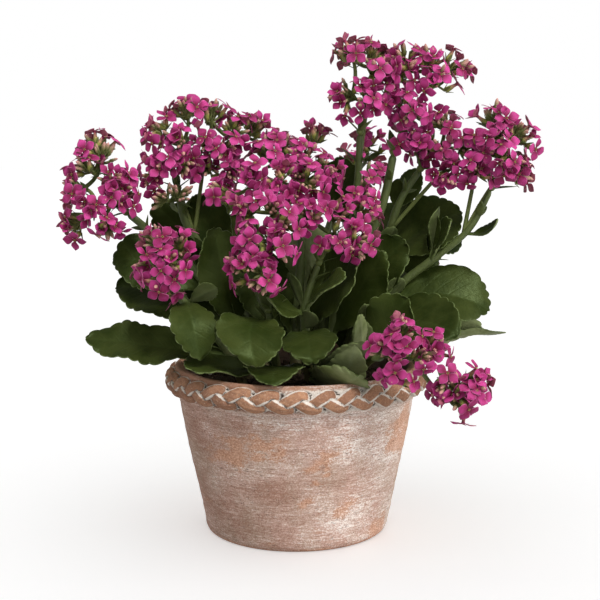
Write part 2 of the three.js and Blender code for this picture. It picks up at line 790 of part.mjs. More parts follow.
// One flower grown out of a face of the hub: a thin tube that opens into a four-petalled star.
function flowerPoints(hub, axis) {
  const { outward, reach } = axis;
  const side = axis.corners[0].clone().projectOnPlane(outward).normalize();
  const other = outward.clone().cross(side);
  const at = (distance, radius, turn) =>
    hub
      .clone()
      .addScaledVector(outward, distance)
      .addScaledVector(side, radius * Math.cos(2 * Math.PI * turn))
      .addScaledVector(other, radius * Math.sin(2 * Math.PI * turn));
  const tube = [0, 1, 2].map((i) => at(reach - FLOWER.tubeLength, FLOWER.tubeRadius, i / 3));
  const star = [];
  for (let i = 0; i < FLOWER.petals; i++) {
    star.push(at(reach - FLOWER.petalDroop, FLOWER.petalReach, i / FLOWER.petals));
    star.push(at(reach, FLOWER.notchReach, (i + 0.5) / FLOWER.petals));
  }
  return [...axis.corners.map((corner) => corner.clone().add(hub)), ...tube, ...star];
}

// Triangles round a three-sided tube whose triples of points follow one another.
function tubeTriangles(first, lengths) {
  const index = [];
  for (let k = 0; k < lengths; k++) {
    for (let i = 0; i < 3; i++) {
      const [low, next] = [first + 3 * k + i, first + 3 * k + ((i + 1) % 3)];
      index.push(low, next, next + 3, low, next + 3, low + 3);
    }
  }
  return index;
}

// Triangles over one flower's points: three corners, three round the tube, then eight round the star.
function flowerTriangles(first) {
  const [tube, star] = [first + 3, first + 6];
  const rim = 2 * FLOWER.petals;
  const index = tubeTriangles(first, 1);
  const below = (m) => Math.round(((m + 0.5) / rim) * 3) % 3;
  for (let m = 0; m < rim; m++) {
    const next = (m + 1) % rim;
    index.push(tube + below(m), star + next, star + m);
    if (below(next) !== below(m)) index.push(tube + below(m), tube + below(next), star + next);
    if (m % 2 === 0) index.push(star + ((m + rim - 1) % rim), star + m, star + next);
  }
  index.push(star + 1, star + 3, star + 5, star + 1, star + 5, star + 7);
  return index;
}

// The umbel's own stalk grown out of the hub's back face, bending away to the place it forks off.
function stalkPoints(hub, face, from) {
  const bend = hub.clone().addScaledVector(face.normal, STALK.bend * from.distanceTo(hub));
  const curve = new THREE.QuadraticBezierCurve3(hub, bend, from);
  const points = face.corners.map((corner) => corner.clone().add(hub));
  for (const t of STALK.rings) {
    const turn = new THREE.Quaternion().setFromUnitVectors(face.normal, curve.getTangent(t));
    for (const corner of face.corners) {
      const across = corner.clone().projectOnPlane(face.normal).setLength(STALK.radius);
      points.push(curve.getPoint(t).add(across.applyQuaternion(turn)));
    }
  }
  return points;
}

// The hub with its flowers and its stalk, as one closed skin.
function umbelSolid(umbel, turn, from) {
  const hub = umbelHub(umbel);
  const points = [];
  const index = [];
  for (const axis of flowerAxes(umbel, turn)) {
    const first = points.length;
    if (axis.bears) {
      index.push(...flowerTriangles(first));
      points.push(...flowerPoints(hub, axis));
    } else {
      index.push(first, first + 1, first + 2);
      points.push(...axis.corners.map((corner) => corner.clone().add(hub)));
    }
  }
  const root = points.length - 3;
  const rings = STALK.rings.length;
  points.push(...stalkPoints(hub, hubFaces(umbel, turn).at(-1), from).slice(3));
  const end = root + 3 * rings;
  index.splice(-3, 3, ...tubeTriangles(root, rings), end, end + 1, end + 2);
  const geometry = new THREE.BufferGeometry();
  const positions = points.flatMap((p) => [p.x, p.y, p.z]);
  geometry.setAttribute("position", new THREE.Float32BufferAttribute(positions, 3));
  geometry.setIndex(index);
  return toSolid(geometry);
}

// A head's first stalk springs from a small knuckle that sits on the top of its shoot. Every further stalk
// forks off the nearest umbel already placed.
function headSolid(head) {
  const shoot = SHOOTS[head.shoot];
  const curve = shootCurve(shoot);
  const knuckle = curve.getPointAt(1).addScaledVector(curve.getTangentAt(1), GAP + 1);
  const core = new THREE.IcosahedronGeometry(shoot.to).translate(knuckle.x, knuckle.y, knuckle.z);
  const pieces = [toSolid(core)];
  const reached = [knuckle];
  head.umbels.forEach((umbel, i) => {
    const hub = umbelHub(umbel);
    const nearer = (best, place) => (place.distanceTo(hub) < best.distanceTo(hub) ? place : best);
    const from = reached.reduce(nearer);
    pieces.push(umbelSolid(umbel, i * FLOWER.turn, from));
    reached.push(hub);
  });
  const whole = wasm.Manifold.union(pieces).subtract(shootSolid(shoot, GAP));
  return outerSkin(whole);
}

// ---------------------------------------------------------------- assembly
const plant = new THREE.Group();
plant.name = "potted_kalanchoe";
plant.add(mesh("pot", potGeometry(), "terracotta"));
plant.add(mesh("compost", toGeometry(compostSolid()), "compost"));
for (const [name, shoot] of Object.entries(SHOOTS)) {
  const tube = taperedTube(shootCurve(shoot), shoot.from, shoot.to, STEM.sides, STEM.steps);
  plant.add(mesh(`shoot_${name}`, tube, "stem"));
}
for (const [name, leaf] of Object.entries(LEAVES)) {
  plant.add(mesh(`leaf_${name}`, toGeometry(leafSolid(leaf)), "leaf"));
}
for (const [name, head] of Object.entries(HEADS)) {
  plant.add(mesh(`flower_head_${name}`, toGeometry(headSolid(head)), "petal"));
}

export default plant;
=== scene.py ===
# A kalanchoe in a whitewashed clay pot: thick scalloped leaves on green shoots, sprays of small
# four-petalled flowers, and a rim pressed into a plait. Blender works in metres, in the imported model's
# frame. The tables below are in millimetres, and mm turns them into metres when a mesh is made.
import math

import bpy
import numpy as np
from mathutils import Matrix, Vector


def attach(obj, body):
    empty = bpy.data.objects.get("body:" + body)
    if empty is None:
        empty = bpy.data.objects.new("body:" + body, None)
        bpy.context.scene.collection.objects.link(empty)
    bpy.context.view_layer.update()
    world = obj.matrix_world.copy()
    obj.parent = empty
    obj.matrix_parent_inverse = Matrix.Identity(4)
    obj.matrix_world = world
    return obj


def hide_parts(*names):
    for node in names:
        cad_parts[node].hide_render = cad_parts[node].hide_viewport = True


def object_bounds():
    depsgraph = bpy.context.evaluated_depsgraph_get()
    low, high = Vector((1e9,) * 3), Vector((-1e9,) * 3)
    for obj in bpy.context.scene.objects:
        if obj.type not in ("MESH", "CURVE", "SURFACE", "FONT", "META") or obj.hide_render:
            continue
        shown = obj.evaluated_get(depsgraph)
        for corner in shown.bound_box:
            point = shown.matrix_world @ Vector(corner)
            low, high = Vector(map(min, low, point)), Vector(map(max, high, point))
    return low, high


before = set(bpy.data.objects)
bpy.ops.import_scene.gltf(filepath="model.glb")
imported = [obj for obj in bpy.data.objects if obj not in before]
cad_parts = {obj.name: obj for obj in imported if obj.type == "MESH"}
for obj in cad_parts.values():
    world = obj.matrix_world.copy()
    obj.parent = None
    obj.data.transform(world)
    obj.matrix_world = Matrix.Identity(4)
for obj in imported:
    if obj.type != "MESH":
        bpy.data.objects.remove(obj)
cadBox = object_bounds()
mm = 0.001
up = np.array([0.0, 0.0, 1.0])
boxLow, boxHigh = (np.array(corner) / mm for corner in cadBox)


# Small vector helpers
def unit(vectors):
    return vectors / np.maximum(np.linalg.norm(vectors, axis=-1, keepdims=True), 1e-12)


def dot(a, b):
    return np.sum(a * b, axis=-1, keepdims=True)


def crossways(direction):
    return np.cross(direction, np.eye(3)[np.argmin(np.abs(direction))])


def axesAlong(direction):
    side = unit(crossways(direction))
    return np.stack([side, np.cross(direction, side), direction])


def smooth(value, low, high):
    share = np.clip((value - low) / (high - low), 0, 1)
    return share * share * (3 - 2 * share)


def around(count):  # angles of a full turn
    return np.linspace(0, 2 * np.pi, count, endpoint=False)


def runLength(line):
    return np.concatenate([[0], np.cumsum(np.linalg.norm(np.diff(line, axis=0), axis=1))])


def bezier(a, b, c, t):
    t = np.asarray(t)[:, None]
    return (1 - t) ** 2 * a + 2 * t * (1 - t) * b + t * t * c


def evenly(line, count):  # the same line with its points at equal steps
    gone = runLength(line)
    at = np.linspace(0, gone[-1], count)
    return np.stack([np.interp(at, gone, line[:, k]) for k in range(3)], 1)


def spin(vectors, axis, angle):  # turns vectors about an axis, both may be lists
    c, s = np.cos(angle), np.sin(angle)
    return vectors * c + np.cross(axis, vectors) * s + axis * dot(axis, vectors) * (1 - c)


def turned(rings, angle):  # about +Z
    c, s = math.cos(angle), math.sin(angle)
    return rings @ np.array([[c, s, 0], [-s, c, 0], [0, 0, 1]])


def revolved(profile, sides):  # radius and height pairs turned about +Z
    profile, turn = np.array(profile, float), around(sides)[None]
    x, y = profile[:, :1] * np.cos(turn), profile[:, :1] * np.sin(turn)
    return np.stack([x, y, np.broadcast_to(profile[:, 1:], x.shape)], -1)


def tubeRings(line, radii, sides):
    heading = unit(np.gradient(line, axis=0))
    across = crossways(line[-1] - line[0])
    across = unit(across - dot(heading, across) * heading)
    other = np.cross(heading, across)
    turn = around(sides)[None, :, None]
    radii = np.broadcast_to(radii, len(line))[:, None, None]
    return line[:, None] + radii * (np.cos(turn) * across[:, None] + np.sin(turn) * other[:, None])


# A shape gathers closed lofts until makePiece turns them into one mesh
def newShape():
    return {"points": [], "faces": [], "marks": {}, "count": 0}


def addLoft(shape, rings, **marks):  # rings run anticlockwise seen from the far end
    rows, sides = rings.shape[:2]
    grid = np.arange(rows * sides).reshape(rows, sides) + shape["count"]
    low, high = grid[:-1], grid[1:]
    quads = np.stack([low, np.roll(low, -1, 1), np.roll(high, -1, 1), high], -1).reshape(-1, 4)
    shape["points"].append(rings.reshape(-1, 3))
    shape["faces"] += [*quads.tolist(), grid[0, ::-1].tolist(), grid[-1].tolist()]
    for name, values in marks.items():
        spread = np.broadcast_to(values, (rows, sides)).ravel().astype(np.float32)
        shape["marks"].setdefault(name, []).append(spread)
    shape["count"] += rows * sides


def makePiece(name, shape, material, slot, *nodes):
    mesh = bpy.data.meshes.new(name)
    mesh.from_pydata(np.concatenate(shape["points"]) * mm, [], shape["faces"])
    for key, values in shape["marks"].items():
        mesh.attributes.new(key, "FLOAT", "POINT").data.foreach_set("value", np.concatenate(values))
    mesh.materials.append(material)
    mesh.shade_smooth()
    piece = bpy.data.objects.new(name, mesh)
    bpy.context.scene.collection.objects.link(piece)
    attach(piece, "root")
    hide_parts(*nodes)


# Node helpers: each returns the socket that the next one takes, and a socket knows its own tree
def setInputs(made, inputs):
    for key, value in inputs.items():
        if isinstance(value, bpy.types.NodeSocket):
            made.id_data.links.new(value, made.inputs[key])
        else:
            made.inputs[key].default_value = value
    return made.outputs


def addNode(tree, kind, inputs, output=0, **settings):
    made = tree.nodes.new(kind)
    for key, value in settings.items():
        setattr(made, key, value)
    return setInputs(made, inputs)[output]


def useGroup(tree, group, inputs):
    made = tree.nodes.new("ShaderNodeGroup")
    made.node_tree = group
    return setInputs(made, inputs)


def mark(tree, *names):
    found = [addNode(tree, "ShaderNodeAttribute", {}, "Fac", attribute_name=name) for name in names]
    return found if len(found) > 1 else found[0]


def place(tree, stretch=(1, 1, 1), shift=(0, 0, 0)):
    where = addNode(tree, "ShaderNodeTexCoord", {}, "Object")
    return addNode(tree, "ShaderNodeMapping", {"Vector": where, "Scale": stretch, "Location": shift})


def noise(where, scale, detail=3.0, roughness=0.55, distortion=0.0):
    inputs = {"Vector": where, "Scale": scale, "Detail": detail}
    inputs.update({"Roughness": roughness, "Distortion": distortion})
    return addNode(where.id_data, "ShaderNodeTexNoise", inputs)


def maths(how, a, b=0.0):
    return addNode(a.id_data, "ShaderNodeMath", {0: a, 1: b}, operation=how)


def times(a, b):
    return maths("MULTIPLY", a, b)


def plus(a, b):
    return maths("ADD", a, b)


def minus(a, b):
    return maths("SUBTRACT", a, b)


def addShare(value, layer, share, middle=0.0):  # adds a share of what a layer has over its middle
    return plus(value, times(minus(layer, middle), share))


def fade(value, low, high, first=0.0, last=1.0):
    inputs = {"Value": value, "From Min": low, "From Max": high, "To Min": first, "To Max": last}
    return addNode(value.id_data, "ShaderNodeMapRange", inputs, interpolation_type="SMOOTHSTEP")


def blend(factor, a, b):
    a, b = ((*c, 1.0) if isinstance(c, tuple) else c for c in (a, b))
    return addNode(factor.id_data, "ShaderNodeMix", {0: factor, 6: a, 7: b}, 2, data_type="RGBA")


def newMaterial(name, **constants):
    material = bpy.data.materials.new(name)
    material.use_nodes = True
    tree = material.node_tree
    constants = {key.replace("_", " "): value for key, value in constants.items()}
    setInputs(tree.nodes["Principled BSDF"], constants)
    return material, tree


def finishMaterial(material, colour, roughness, height, depth):
    tree = material.node_tree
    normal = addNode(tree, "ShaderNodeBump", {"Height": height, "Distance": depth, "Strength": 1.0})
    inputs = {"Base Color": colour, "Roughness": roughness, "Normal": normal}
    setInputs(tree.nodes["Principled BSDF"], inputs)
    return material


def newGroup(name, inputs, outputs):
    tree = bpy.data.node_groups.new(name, "ShaderNodeTree")
    for socket in inputs:
        kind = "NodeSocketVector" if socket == "Vector" else "NodeSocketFloat"
        tree.interface.new_socket(name=socket, in_out="INPUT", socket_type=kind)
    for socket in outputs:
        tree.interface.new_socket(name=socket, in_out="OUTPUT", socket_type="NodeSocketFloat")
    return tree, tree.nodes.new("NodeGroupInput").outputs, tree.nodes.new("NodeGroupOutput")


# Three effects that several finishes share
def makeMottle():
    tree, given, result = newGroup("mottle", ["Vector", "Scale"], ["Patches", "Grain"])
    patches = noise(given["Vector"], given["Scale"], 4.0, 0.6)
    grain = noise(given["Vector"], times(given["Scale"], 9.0), 3.0, 0.65)
    setInputs(result, {"Patches": fade(patches, 0.3, 0.7), "Grain": grain})
    return tree


def makeSpecks():
    tree, given, result = newGroup("specks", ["Vector", "Scale", "Cover"], ["Mask"])
    inputs = {"Vector": given["Vector"], "Scale": given["Scale"]}
    dots = addNode(tree, "ShaderNodeTexVoronoi", inputs, "Distance")
    uneven = noise(given["Vector"], times(given["Scale"], 0.35), 2.0)
    size = times(fade(uneven, 0.42, 0.72), given["Cover"])
    setInputs(result, {"Mask": fade(minus(size, dots), 0.0, 0.08)})
    return tree


def makeVeins():
    tree, given, result = newGroup("veins", ["Along", "Across", "Slant", "Spacing"], ["Lines"])
    step = minus(given["Along"], times(maths("ABSOLUTE", given["Across"]), given["Slant"]))
    share = maths("FRACT", maths("DIVIDE", step, given["Spacing"]))
    off = maths("ABSOLUTE", minus(share, 0.5))
    setInputs(result, {"Lines": fade(off, 0.0, 0.14, 1.0, 0.0)})
    return tree


mottle, specks, veins = makeMottle(), makeSpecks(), makeVeins()


def mottled(tree, scale, stretch=(1, 1, 1)):  # broad patches and a fine grain
    found = useGroup(tree, mottle, {"Vector": place(tree, stretch), "Scale": scale})
    return found["Patches"], found["Grain"]


def speckled(tree, scale, cover, stretch=(1, 1, 1)):
    return useGroup(tree, specks, {"Vector": place(tree, stretch), "Scale": scale, "Cover": cover})["Mask"]


def veined(tree, along, across, slant, spacing):
    inputs = {"Along": along, "Across": across, "Slant": slant, "Spacing": spacing}
    return useGroup(tree, veins, inputs)["Lines"]


# The pot
pot = {
    "height": 102, "footRadius": 54.5, "footCorner": 3, "footEase": 1.5, "topRadius": 72,
    "rimBottom": 84.5, "wall": 6, "floor": 8, "lipDrop": 3,
    "rim": [(72, 84.5), (78.2, 88), (79.8, 92.4), (77.1, 99.4), (72, 102)],  # radius and height
    "lip": [(70.6, 101.8), (69, 101.3), (67.6, 100.5)],
    "columns": 880, "rimRows": 56, "bodyRows": 30, "innerRows": 10, "oval": 0.3,
}
plait = {
    "strands": 3, "turns": 10, "radius": 78, "middle": 0.52, "swing": 5.5, "zigzag": 0.86,
    "strandHalf": 4.25, "strandHeight": 1.25, "roundness": 3.2, "overUnder": 1.15, "sink": 2.2,
    "bed": 0.3, "bedEdge": 0.66, "seamDepth": 0.7, "hidden": 9.0,
}
clay = {
    "deep": [(0.325, 0.178, 0.126), (0.330, 0.200, 0.140)],
    "pale": [(0.550, 0.372, 0.305), (0.550, 0.415, 0.340)],
    "washAndSideLight": (0.820, 0.755, 0.700), "stroke": (0.880, 0.840, 0.790), "fleck": (0.150, 0.090, 0.062),
    "bare": [(0.36, 0.160, 0.085), (0.70, 0.42, 0.285)], "lip": (0.345, 0.178, 0.110),
    "inside": (0.085, 0.050, 0.035), "lobe": [(0.225, 0.108, 0.064), (0.400, 0.208, 0.116)],
    "stain": (0.215, 0.100, 0.065), "dust": (0.58, 0.41, 0.30),
    "chalk": [(0.46, 0.39, 0.32), (0.88, 0.83, 0.76)], "seamShade": (0.035, 0.020, 0.014),
    "pit": (0.13, 0.075, 0.052), "relief": 0.0005, "streaks": 0.42, "wear": 0.75, "footWear": 0.8,
    "lipWear": (0.95, 0.45), "shadow": 0.92, "pits": 0.65,
}


def potInnerRadius(height):
    share = (height - pot["floor"]) / (pot["height"] - pot["lipDrop"] - pot["floor"])
    low = pot["footRadius"] + pot["footEase"] - pot["wall"]
    return low + (pot["topRadius"] - pot["wall"] - low) * share


def plaitHeight(turn, level):  # height, gap to the strand below, nearness to the edge, number of the lobe
    best = np.full(np.broadcast(turn, level).shape, plait["bed"])
    second, edge, number = best - plait["hidden"], np.full_like(best, plait["bedEdge"]), np.zeros_like(best)
    bend = plait["zigzag"]
    swing = plait["swing"] / math.asin(bend)
    for k in range(plait["strands"]):
        phase = plait["turns"] * turn + 2 * np.pi * k / plait["strands"]
        steep = np.sqrt(1 - (bend * np.sin(phase)) ** 2)
        slope = swing * plait["turns"] / plait["radius"] * bend * np.cos(phase) / steep
        off = (level - swing * np.arcsin(bend * np.sin(phase))) / np.sqrt(1 + slope**2) / plait["strandHalf"]
        crown = np.maximum(1 - np.abs(off) ** plait["roundness"], 0) ** 0.6
        height = plait["overUnder"] * np.sin(2 * phase) + plait["strandHeight"] * crown
        height = np.where(np.abs(off) < 1, height, -plait["hidden"])
        second = np.maximum(second, np.minimum(best, height))
        edge = np.where(height > best, np.abs(off), edge)
        number = np.where(height > best, k + plait["strands"] * np.floor(phase / np.pi), number)
        best = np.maximum(best, height)
    return best, np.clip(best - second, 0, plait["hidden"]), edge, number


def makePot(material):
    # the outline from under the foot, up the outside, over the rim and down to the floor inside
    rimLine = np.array(pot["rim"], float)
    knots = runLength(rimLine)
    fine = np.linspace(0, knots[-1], pot["rimRows"])
    rimLine = np.stack([np.polyval(np.polyfit(knots, rimLine[:, k], 4), fine) for k in (0, 1)], 1)
    foot, ease, corner, low = pot["footRadius"], pot["footEase"], pot["footCorner"], pot["floor"]
    under = [(r, 0.0) for r in (2, 20, 40, foot - 1.2)]
    edge = [(foot - 0.4, 0.12), (foot + 0.3, 0.6), (foot + 0.9, 1.6), (foot + ease, corner)]
    body = [(foot + ease + (pot["topRadius"] - foot - ease) * s, corner + (pot["rimBottom"] - corner) * s)
            for s in np.linspace(0, 1, pot["bodyRows"] + 2)[1:-1]]
    down = np.linspace(pot["height"] - pot["lipDrop"], low + 2, pot["innerRows"])
    inner = [(potInnerRadius(h), h) for h in down]
    floor = [(potInnerRadius(low) - 1.5, low), (30, low), (2, low)]
    outline = np.array(under + edge + body + rimLine.tolist() + pot["lip"] + inner + floor)
    start = len(under) + len(edge) + len(body)

    turn = around(pot["columns"])[None]
    radius = np.repeat(outline[:, :1], pot["columns"], 1)
    height = np.repeat(outline[:, 1:], pot["columns"], 1)
    flow = unit(np.gradient(outline, axis=0))

    # hand-thrown unevenness on the outside
    outside = smooth(height, 1, 8) * (1 - smooth(height, 80, 85)) * (radius > 50)
    rings = 0.10 * np.sin(height * 0.62 + 0.7 * np.sin(2 * turn))
    rings = rings + 0.06 * np.sin(height * 1.1 + np.sin(3 * turn))
    lumps = 0.30 * np.sin(3 * turn + height / 17) + 0.22 * np.sin(5 * turn - height / 11 + 2)
    radius += outside * (rings + lumps) + (radius > 50) * pot["oval"] * np.sin(2 * turn + 0.6)

    # the plait pressed into the roll
    rows = slice(start, start + pot["rimRows"])
    gone, last = fine[:, None], knots[-1]
    across = gone - last * plait["middle"] + 0.35 * np.sin(4 * turn + 1) + 0.25 * np.sin(7 * turn)
    braid, apart, near, number = plaitHeight(turn + 0.010 * np.sin(5 * turn), across)
    seam = 1 - smooth(apart, 0.0, 0.6)
    press = braid - plait["sink"] - plait["seamDepth"] * seam + 0.10 * np.sin(41 * turn + across * 2)
    ends = smooth(gone, 1.0, 5.0) * (1 - smooth(gone, last - 3.5, last - 0.8))
    radius[rows] += flow[rows, 1:] * press * ends
    height[rows] -= flow[rows, :1] * press * ends

    marks = {name: np.zeros_like(radius) for name in ("groove", "weave", "strand", "seam", "inside")}
    marks["inside"][start + pot["rimRows"] + 2:] = 1
    marks["groove"][rows] = np.maximum(smooth(near, 0.50, 0.86), seam)
    marks["weave"][rows] = smooth(gone, 3.0, 4.5) * (1 - smooth(gone, last - 3.6, last - 2.0))
    marks["strand"][rows] = np.mod(np.sin(number * 12.9898) * 43.7585, 1.0)  # a shade for each lobe
    marks["seam"][rows] = (1 - smooth(apart, 0.05, 0.45)) * ends
    shape = newShape()
    addLoft(shape, np.stack([radius * np.cos(turn), radius * np.sin(turn), height], -1), **marks)
    makePiece("clay_pot", shape, material, "terracotta", "pot")


def claySkin():
    material, tree = newMaterial("whitewashed_clay", Specular_IOR_Level=0.2)
    streaks = noise(place(tree, (34, 34, 460), (3, 1, 0)), 1.0, 6.0, 0.72, 0.5)
    scratches = noise(place(tree, (120, 120, 1500), (1, 4, 2)), 1.0, 5.0, 0.78)
    cloud = noise(place(tree, (0.8, 0.8, 1.3), (0.31, 0.12, 0.05)), 26.0, 6.0, 0.65)
    grit = noise(place(tree, (1, 1, 1.3)), 950.0, 3.0, 0.8)
    warm = noise(place(tree, (0.8, 0.8, 1.1), (0.75, 0.42, 0.93)), 34.0, 5.0, 0.62)
    groove, weave, strand, seam, inside = mark(tree, "groove", "weave", "strand", "seam", "inside")
    grain = mottled(tree, 60.0)[1]
    pits = speckled(tree, 1050.0, 0.42, (1, 1, 1.7))
    level = addNode(tree, "ShaderNodeSeparateXYZ", {"Vector": place(tree)}, "Z")
    side = level.node.outputs["X"]

    # the wash: brushed thin over the body, thicker at the rim and at the foot, and whiter towards the right,
    # where it is partly real wash and partly painted light on the brighter right side
    band = times(fade(level, 0.072, 0.081), fade(level, 0.085, 0.089, 1.0, 0.0))
    low = fade(level, 0.004, 0.030, 1.0, 0.0)
    washAndSideLight = times(minus(streaks, 0.5), clay["streaks"])
    # the share of side whitens the wash towards the right: partly painted light
    for layer, middle, share in ((scratches, 0.5, 1.05), (grit, 0.5, 1.30), (cloud, 0.5, 1.05),
                                 (band, 0.0, 0.07), (low, 0.0, 0.02), (side, 0.0, 1.5)):
        washAndSideLight = addShare(washAndSideLight, layer, share, middle)
    hue = fade(noise(place(tree, (1, 1, 0.6), (0.5, 0.2, 0.1)), 42.0, 4.0), 0.40, 0.62)
    body = blend(fade(washAndSideLight, -0.28, 0.10), blend(hue, *clay["deep"]), blend(hue, *clay["pale"]))
    body = blend(fade(washAndSideLight, 0.08, 0.32), body, clay["washAndSideLight"])
    flecks = fade(noise(place(tree, (260, 260, 1500), (2, 5, 1)), 1.0, 2.0, 0.6), 0.61, 0.68)
    body = blend(times(flecks, fade(cloud, 0.38, 0.60, 0.25, 0.8)), body, clay["fleck"])
    # pale strokes kept to the right side: partly real brush strokes, partly a painted highlight on the lit
    # side
    strokes = fade(noise(place(tree, (110, 110, 1700), (4, 2, 7)), 1.0, 3.0, 0.7), 0.61, 0.70)
    lit = fade(addShare(side, cloud, 0.10), 0.03, 0.10, 0.30, 0.75)
    body = blend(times(strokes, lit), body, clay["stroke"])

    # bare clay where the wash is worn off, in patches and round the foot's edge
    bare = blend(fade(grit, 0.36, 0.66), *clay["bare"])
    patches = fade(addShare(addShare(warm, washAndSideLight, -0.16), side, 0.35), 0.535, 0.60)
    worn = fade(addShare(level, cloud, -0.012), -0.0050, -0.0030, 1.0, 0.0)
    patches = maths("MAXIMUM", times(patches, clay["wear"]), times(worn, clay["footWear"]))
    body = blend(times(patches, fade(level, 0.080, 0.086, 1.0, 0.3)), body, bare)
    lip = times(fade(addShare(level, cloud, 0.004), 0.0975, 0.1000), fade(washAndSideLight, 0.0, 0.35, *clay["lipWear"]))
    body = blend(lip, body, clay["lip"])
    # painted shade: the inside wall of the pot above the compost is darkened
    body = blend(times(inside, clay["shadow"]), body, clay["inside"])

    # the plait: clay lobes with chalk left in the grooves, and painted shade in the seams between them
    left = addShare(addShare(addShare(groove, grain, 0.9, 0.5), cloud, 1.2, 0.5), side, 3.6)
    lobe = blend(strand, *clay["lobe"])
    lobe = blend(fade(grain, 0.40, 0.62, 0.5, 0.0), lobe, clay["stain"])
    lobe = blend(fade(grit, 0.50, 0.82), lobe, clay["dust"])
    braid = blend(times(fade(left, 0.30, 0.62), 0.95), lobe, blend(grit, *clay["chalk"]))
    # painted shade: a near-black line along the deep seams between the lobes
    braid = blend(times(seam, fade(grain, 0.42, 0.52)), braid, clay["seamShade"])
    colour = blend(times(pits, clay["pits"]), blend(weave, body, braid), clay["pit"])
    height = addShare(addShare(times(streaks, 0.5), scratches, 0.4), grit, 0.7)
    height = minus(height, times(pits, 0.9))
    return finishMaterial(material, colour, fade(washAndSideLight, -0.2, 0.3, 0.82, 0.95), height, clay["relief"])


makePot(claySkin())
print("pot made")

# The compost
compost = {
    "top": 89.0, "crown": 2.5, "crumbs": 900, "crumbSize": (0.6, 1.9), "gap": 0.3, "columns": 180, "rows": 44,
    "swirls": [(0.9, 0.11, 0, 1), (0.6, 0.31, 2, 0), (0.35, 0.83, 1, 3), (0.25, 1.7, 4, 1)],
    "soil": [(0.012, 0.008, 0.005), (0.065, 0.040, 0.024)], "fibre": (0.16, 0.11, 0.07),
    "stone": (0.55, 0.50, 0.42),
}


def compostSkin():
    material, tree = newMaterial("potting_compost", Specular_IOR_Level=0.2)
    grain = mottled(tree, 90.0)[1]
    fibres = speckled(tree, 420.0, 0.5)
    colour = blend(grain, *compost["soil"])
    colour = blend(times(fibres, 0.5), colour, compost["fibre"])
    colour = blend(mark(tree, "pale"), colour, compost["stone"])
    return finishMaterial(material, colour, fade(grain, 0.3, 0.7, 0.85, 1.0), grain, 0.0012)


def crownAt(radius):
    return compost["crown"] * (1 - smooth(radius, 20, 62))


def makeCompost(material):
    rng = np.random.default_rng(5)
    turn = around(compost["columns"])[None]
    bottom, top, rows = pot["floor"] + compost["gap"], compost["top"], compost["rows"]
    out = np.concatenate([[potInnerRadius(bottom), potInnerRadius(top)], np.linspace(64, 1.0, rows)])
    level = np.concatenate([[bottom, top - 1.0], np.full(rows, top)])
    radius = np.repeat(out[:, None] - compost["gap"], compost["columns"], 1)
    height = np.repeat(level[:, None], compost["columns"], 1)
    x, y = radius * np.cos(turn), radius * np.sin(turn)
    rough = sum(a * np.sin(x * f + p) * np.sin(y * f * 1.1 + q) for a, f, p, q in compost["swirls"])
    height[2:] += (crownAt(radius) + rough * 0.8)[2:]
    shape = newShape()
    addLoft(shape, np.stack([x, y, height], -1), pale=0.0)
    for _ in range(compost["crumbs"]):
        r, a = 61 * math.sqrt(rng.random()), rng.uniform(0, 2 * np.pi)
        size = rng.uniform(*compost["crumbSize"])
        spot = np.array([r * math.cos(a), r * math.sin(a), top + crownAt(r) + 0.2])
        axis = unit(rng.normal(size=3)) * size
        line = spot + np.linspace(-1, 1, 5)[:, None] * axis * rng.uniform(0.8, 1.4)
        radii = size * np.array([0.35, 0.85, 1, 0.8, 0.3]) * rng.uniform(0.85, 1.15, 5)
        ring = tubeRings(line, radii, 6) + rng.normal(0, size * 0.09, (5, 6, 3))
        addLoft(shape, ring, pale=float(rng.random() < 0.03))
    makePiece("compost_surface", shape, material, "compost", "compost")


makeCompost(compostSkin())
print("compost made")

# The shoots: centre line from inside the compost to the top, and the radius at the two ends
shoots = {
    "a": ([(12, 5, 76), (22, 7, 125), (42, 7, 170), (52, 4, 198), (58, 0, 228)], 4.2, 2.8),
    "b": ([(27, -3, 76), (42, -3, 122), (64, 0, 150), (82, -3, 165), (103, -8, 184),
        (115, -10, 207)], 3.8, 1.9),
    "c": ([(-26, -2, 76), (-38, 0, 122), (-66, 2, 162), (-91, 0, 184), (-101, -4, 193)], 3.8, 2.6),
    "d": ([(-16, 12, 76), (-28, 16, 125), (-50, 16, 162), (-68, 12, 186), (-72, 10, 206)], 3.6, 2.5),
    "e": ([(-1, 8, 76), (0, 8, 125), (3, 8, 170), (1, 6, 202)], 4.0, 2.8),
    "f": ([(9, -12, 76), (7, -19, 108), (5, -28, 139), (13, -30, 165)], 3.6, 2.6),
    "g": ([(-9, -13, 76), (-13, -24, 112), (-16, -33, 138)], 3.6, 2.6),
    "h": ([(-27, -18, 76), (-38, -22, 108), (-54, -28, 130), (-68, -36, 147)], 3.4, 2.5),
    "j": ([(30, -20, 76), (38, -34, 104), (47, -54, 116), (52, -68, 119)], 3.4, 2.4),
    "k": ([(8, 28, 76), (12, 36, 125), (18, 50, 170), (26, 62, 194)], 3.8, 2.7),
    "l": ([(2, 18, 76), (16, 20, 125), (32, 16, 175), (37, 9, 212), (38, 3, 240)], 3.6, 2.4),
    "m": ([(24, 13, 76), (37, 18, 125), (54, 14, 172), (63, 8, 200), (74, 5, 218)], 3.6, 2.4),
    "n": ([(-13, 26, 76), (-20, 38, 125), (-36, 56, 165), (-42, 62, 174)], 3.6, 2.6),
    "o": ([(25, 28, 76), (42, 34, 115), (72, 48, 145), (88, 55, 158)], 3.6, 2.6),
}
stem = {
    "lowShare": 0.95, "topShare": 0.82, "sides": 16, "rows": 110, "swelling": 0.12, "swellingLength": 3.0,
    "rib": 0.035, "green": [(0.042, 0.060, 0.012), (0.090, 0.118, 0.028)], "grain": (0.14, 0.17, 0.055),
    "woody": (0.12, 0.075, 0.035),
}


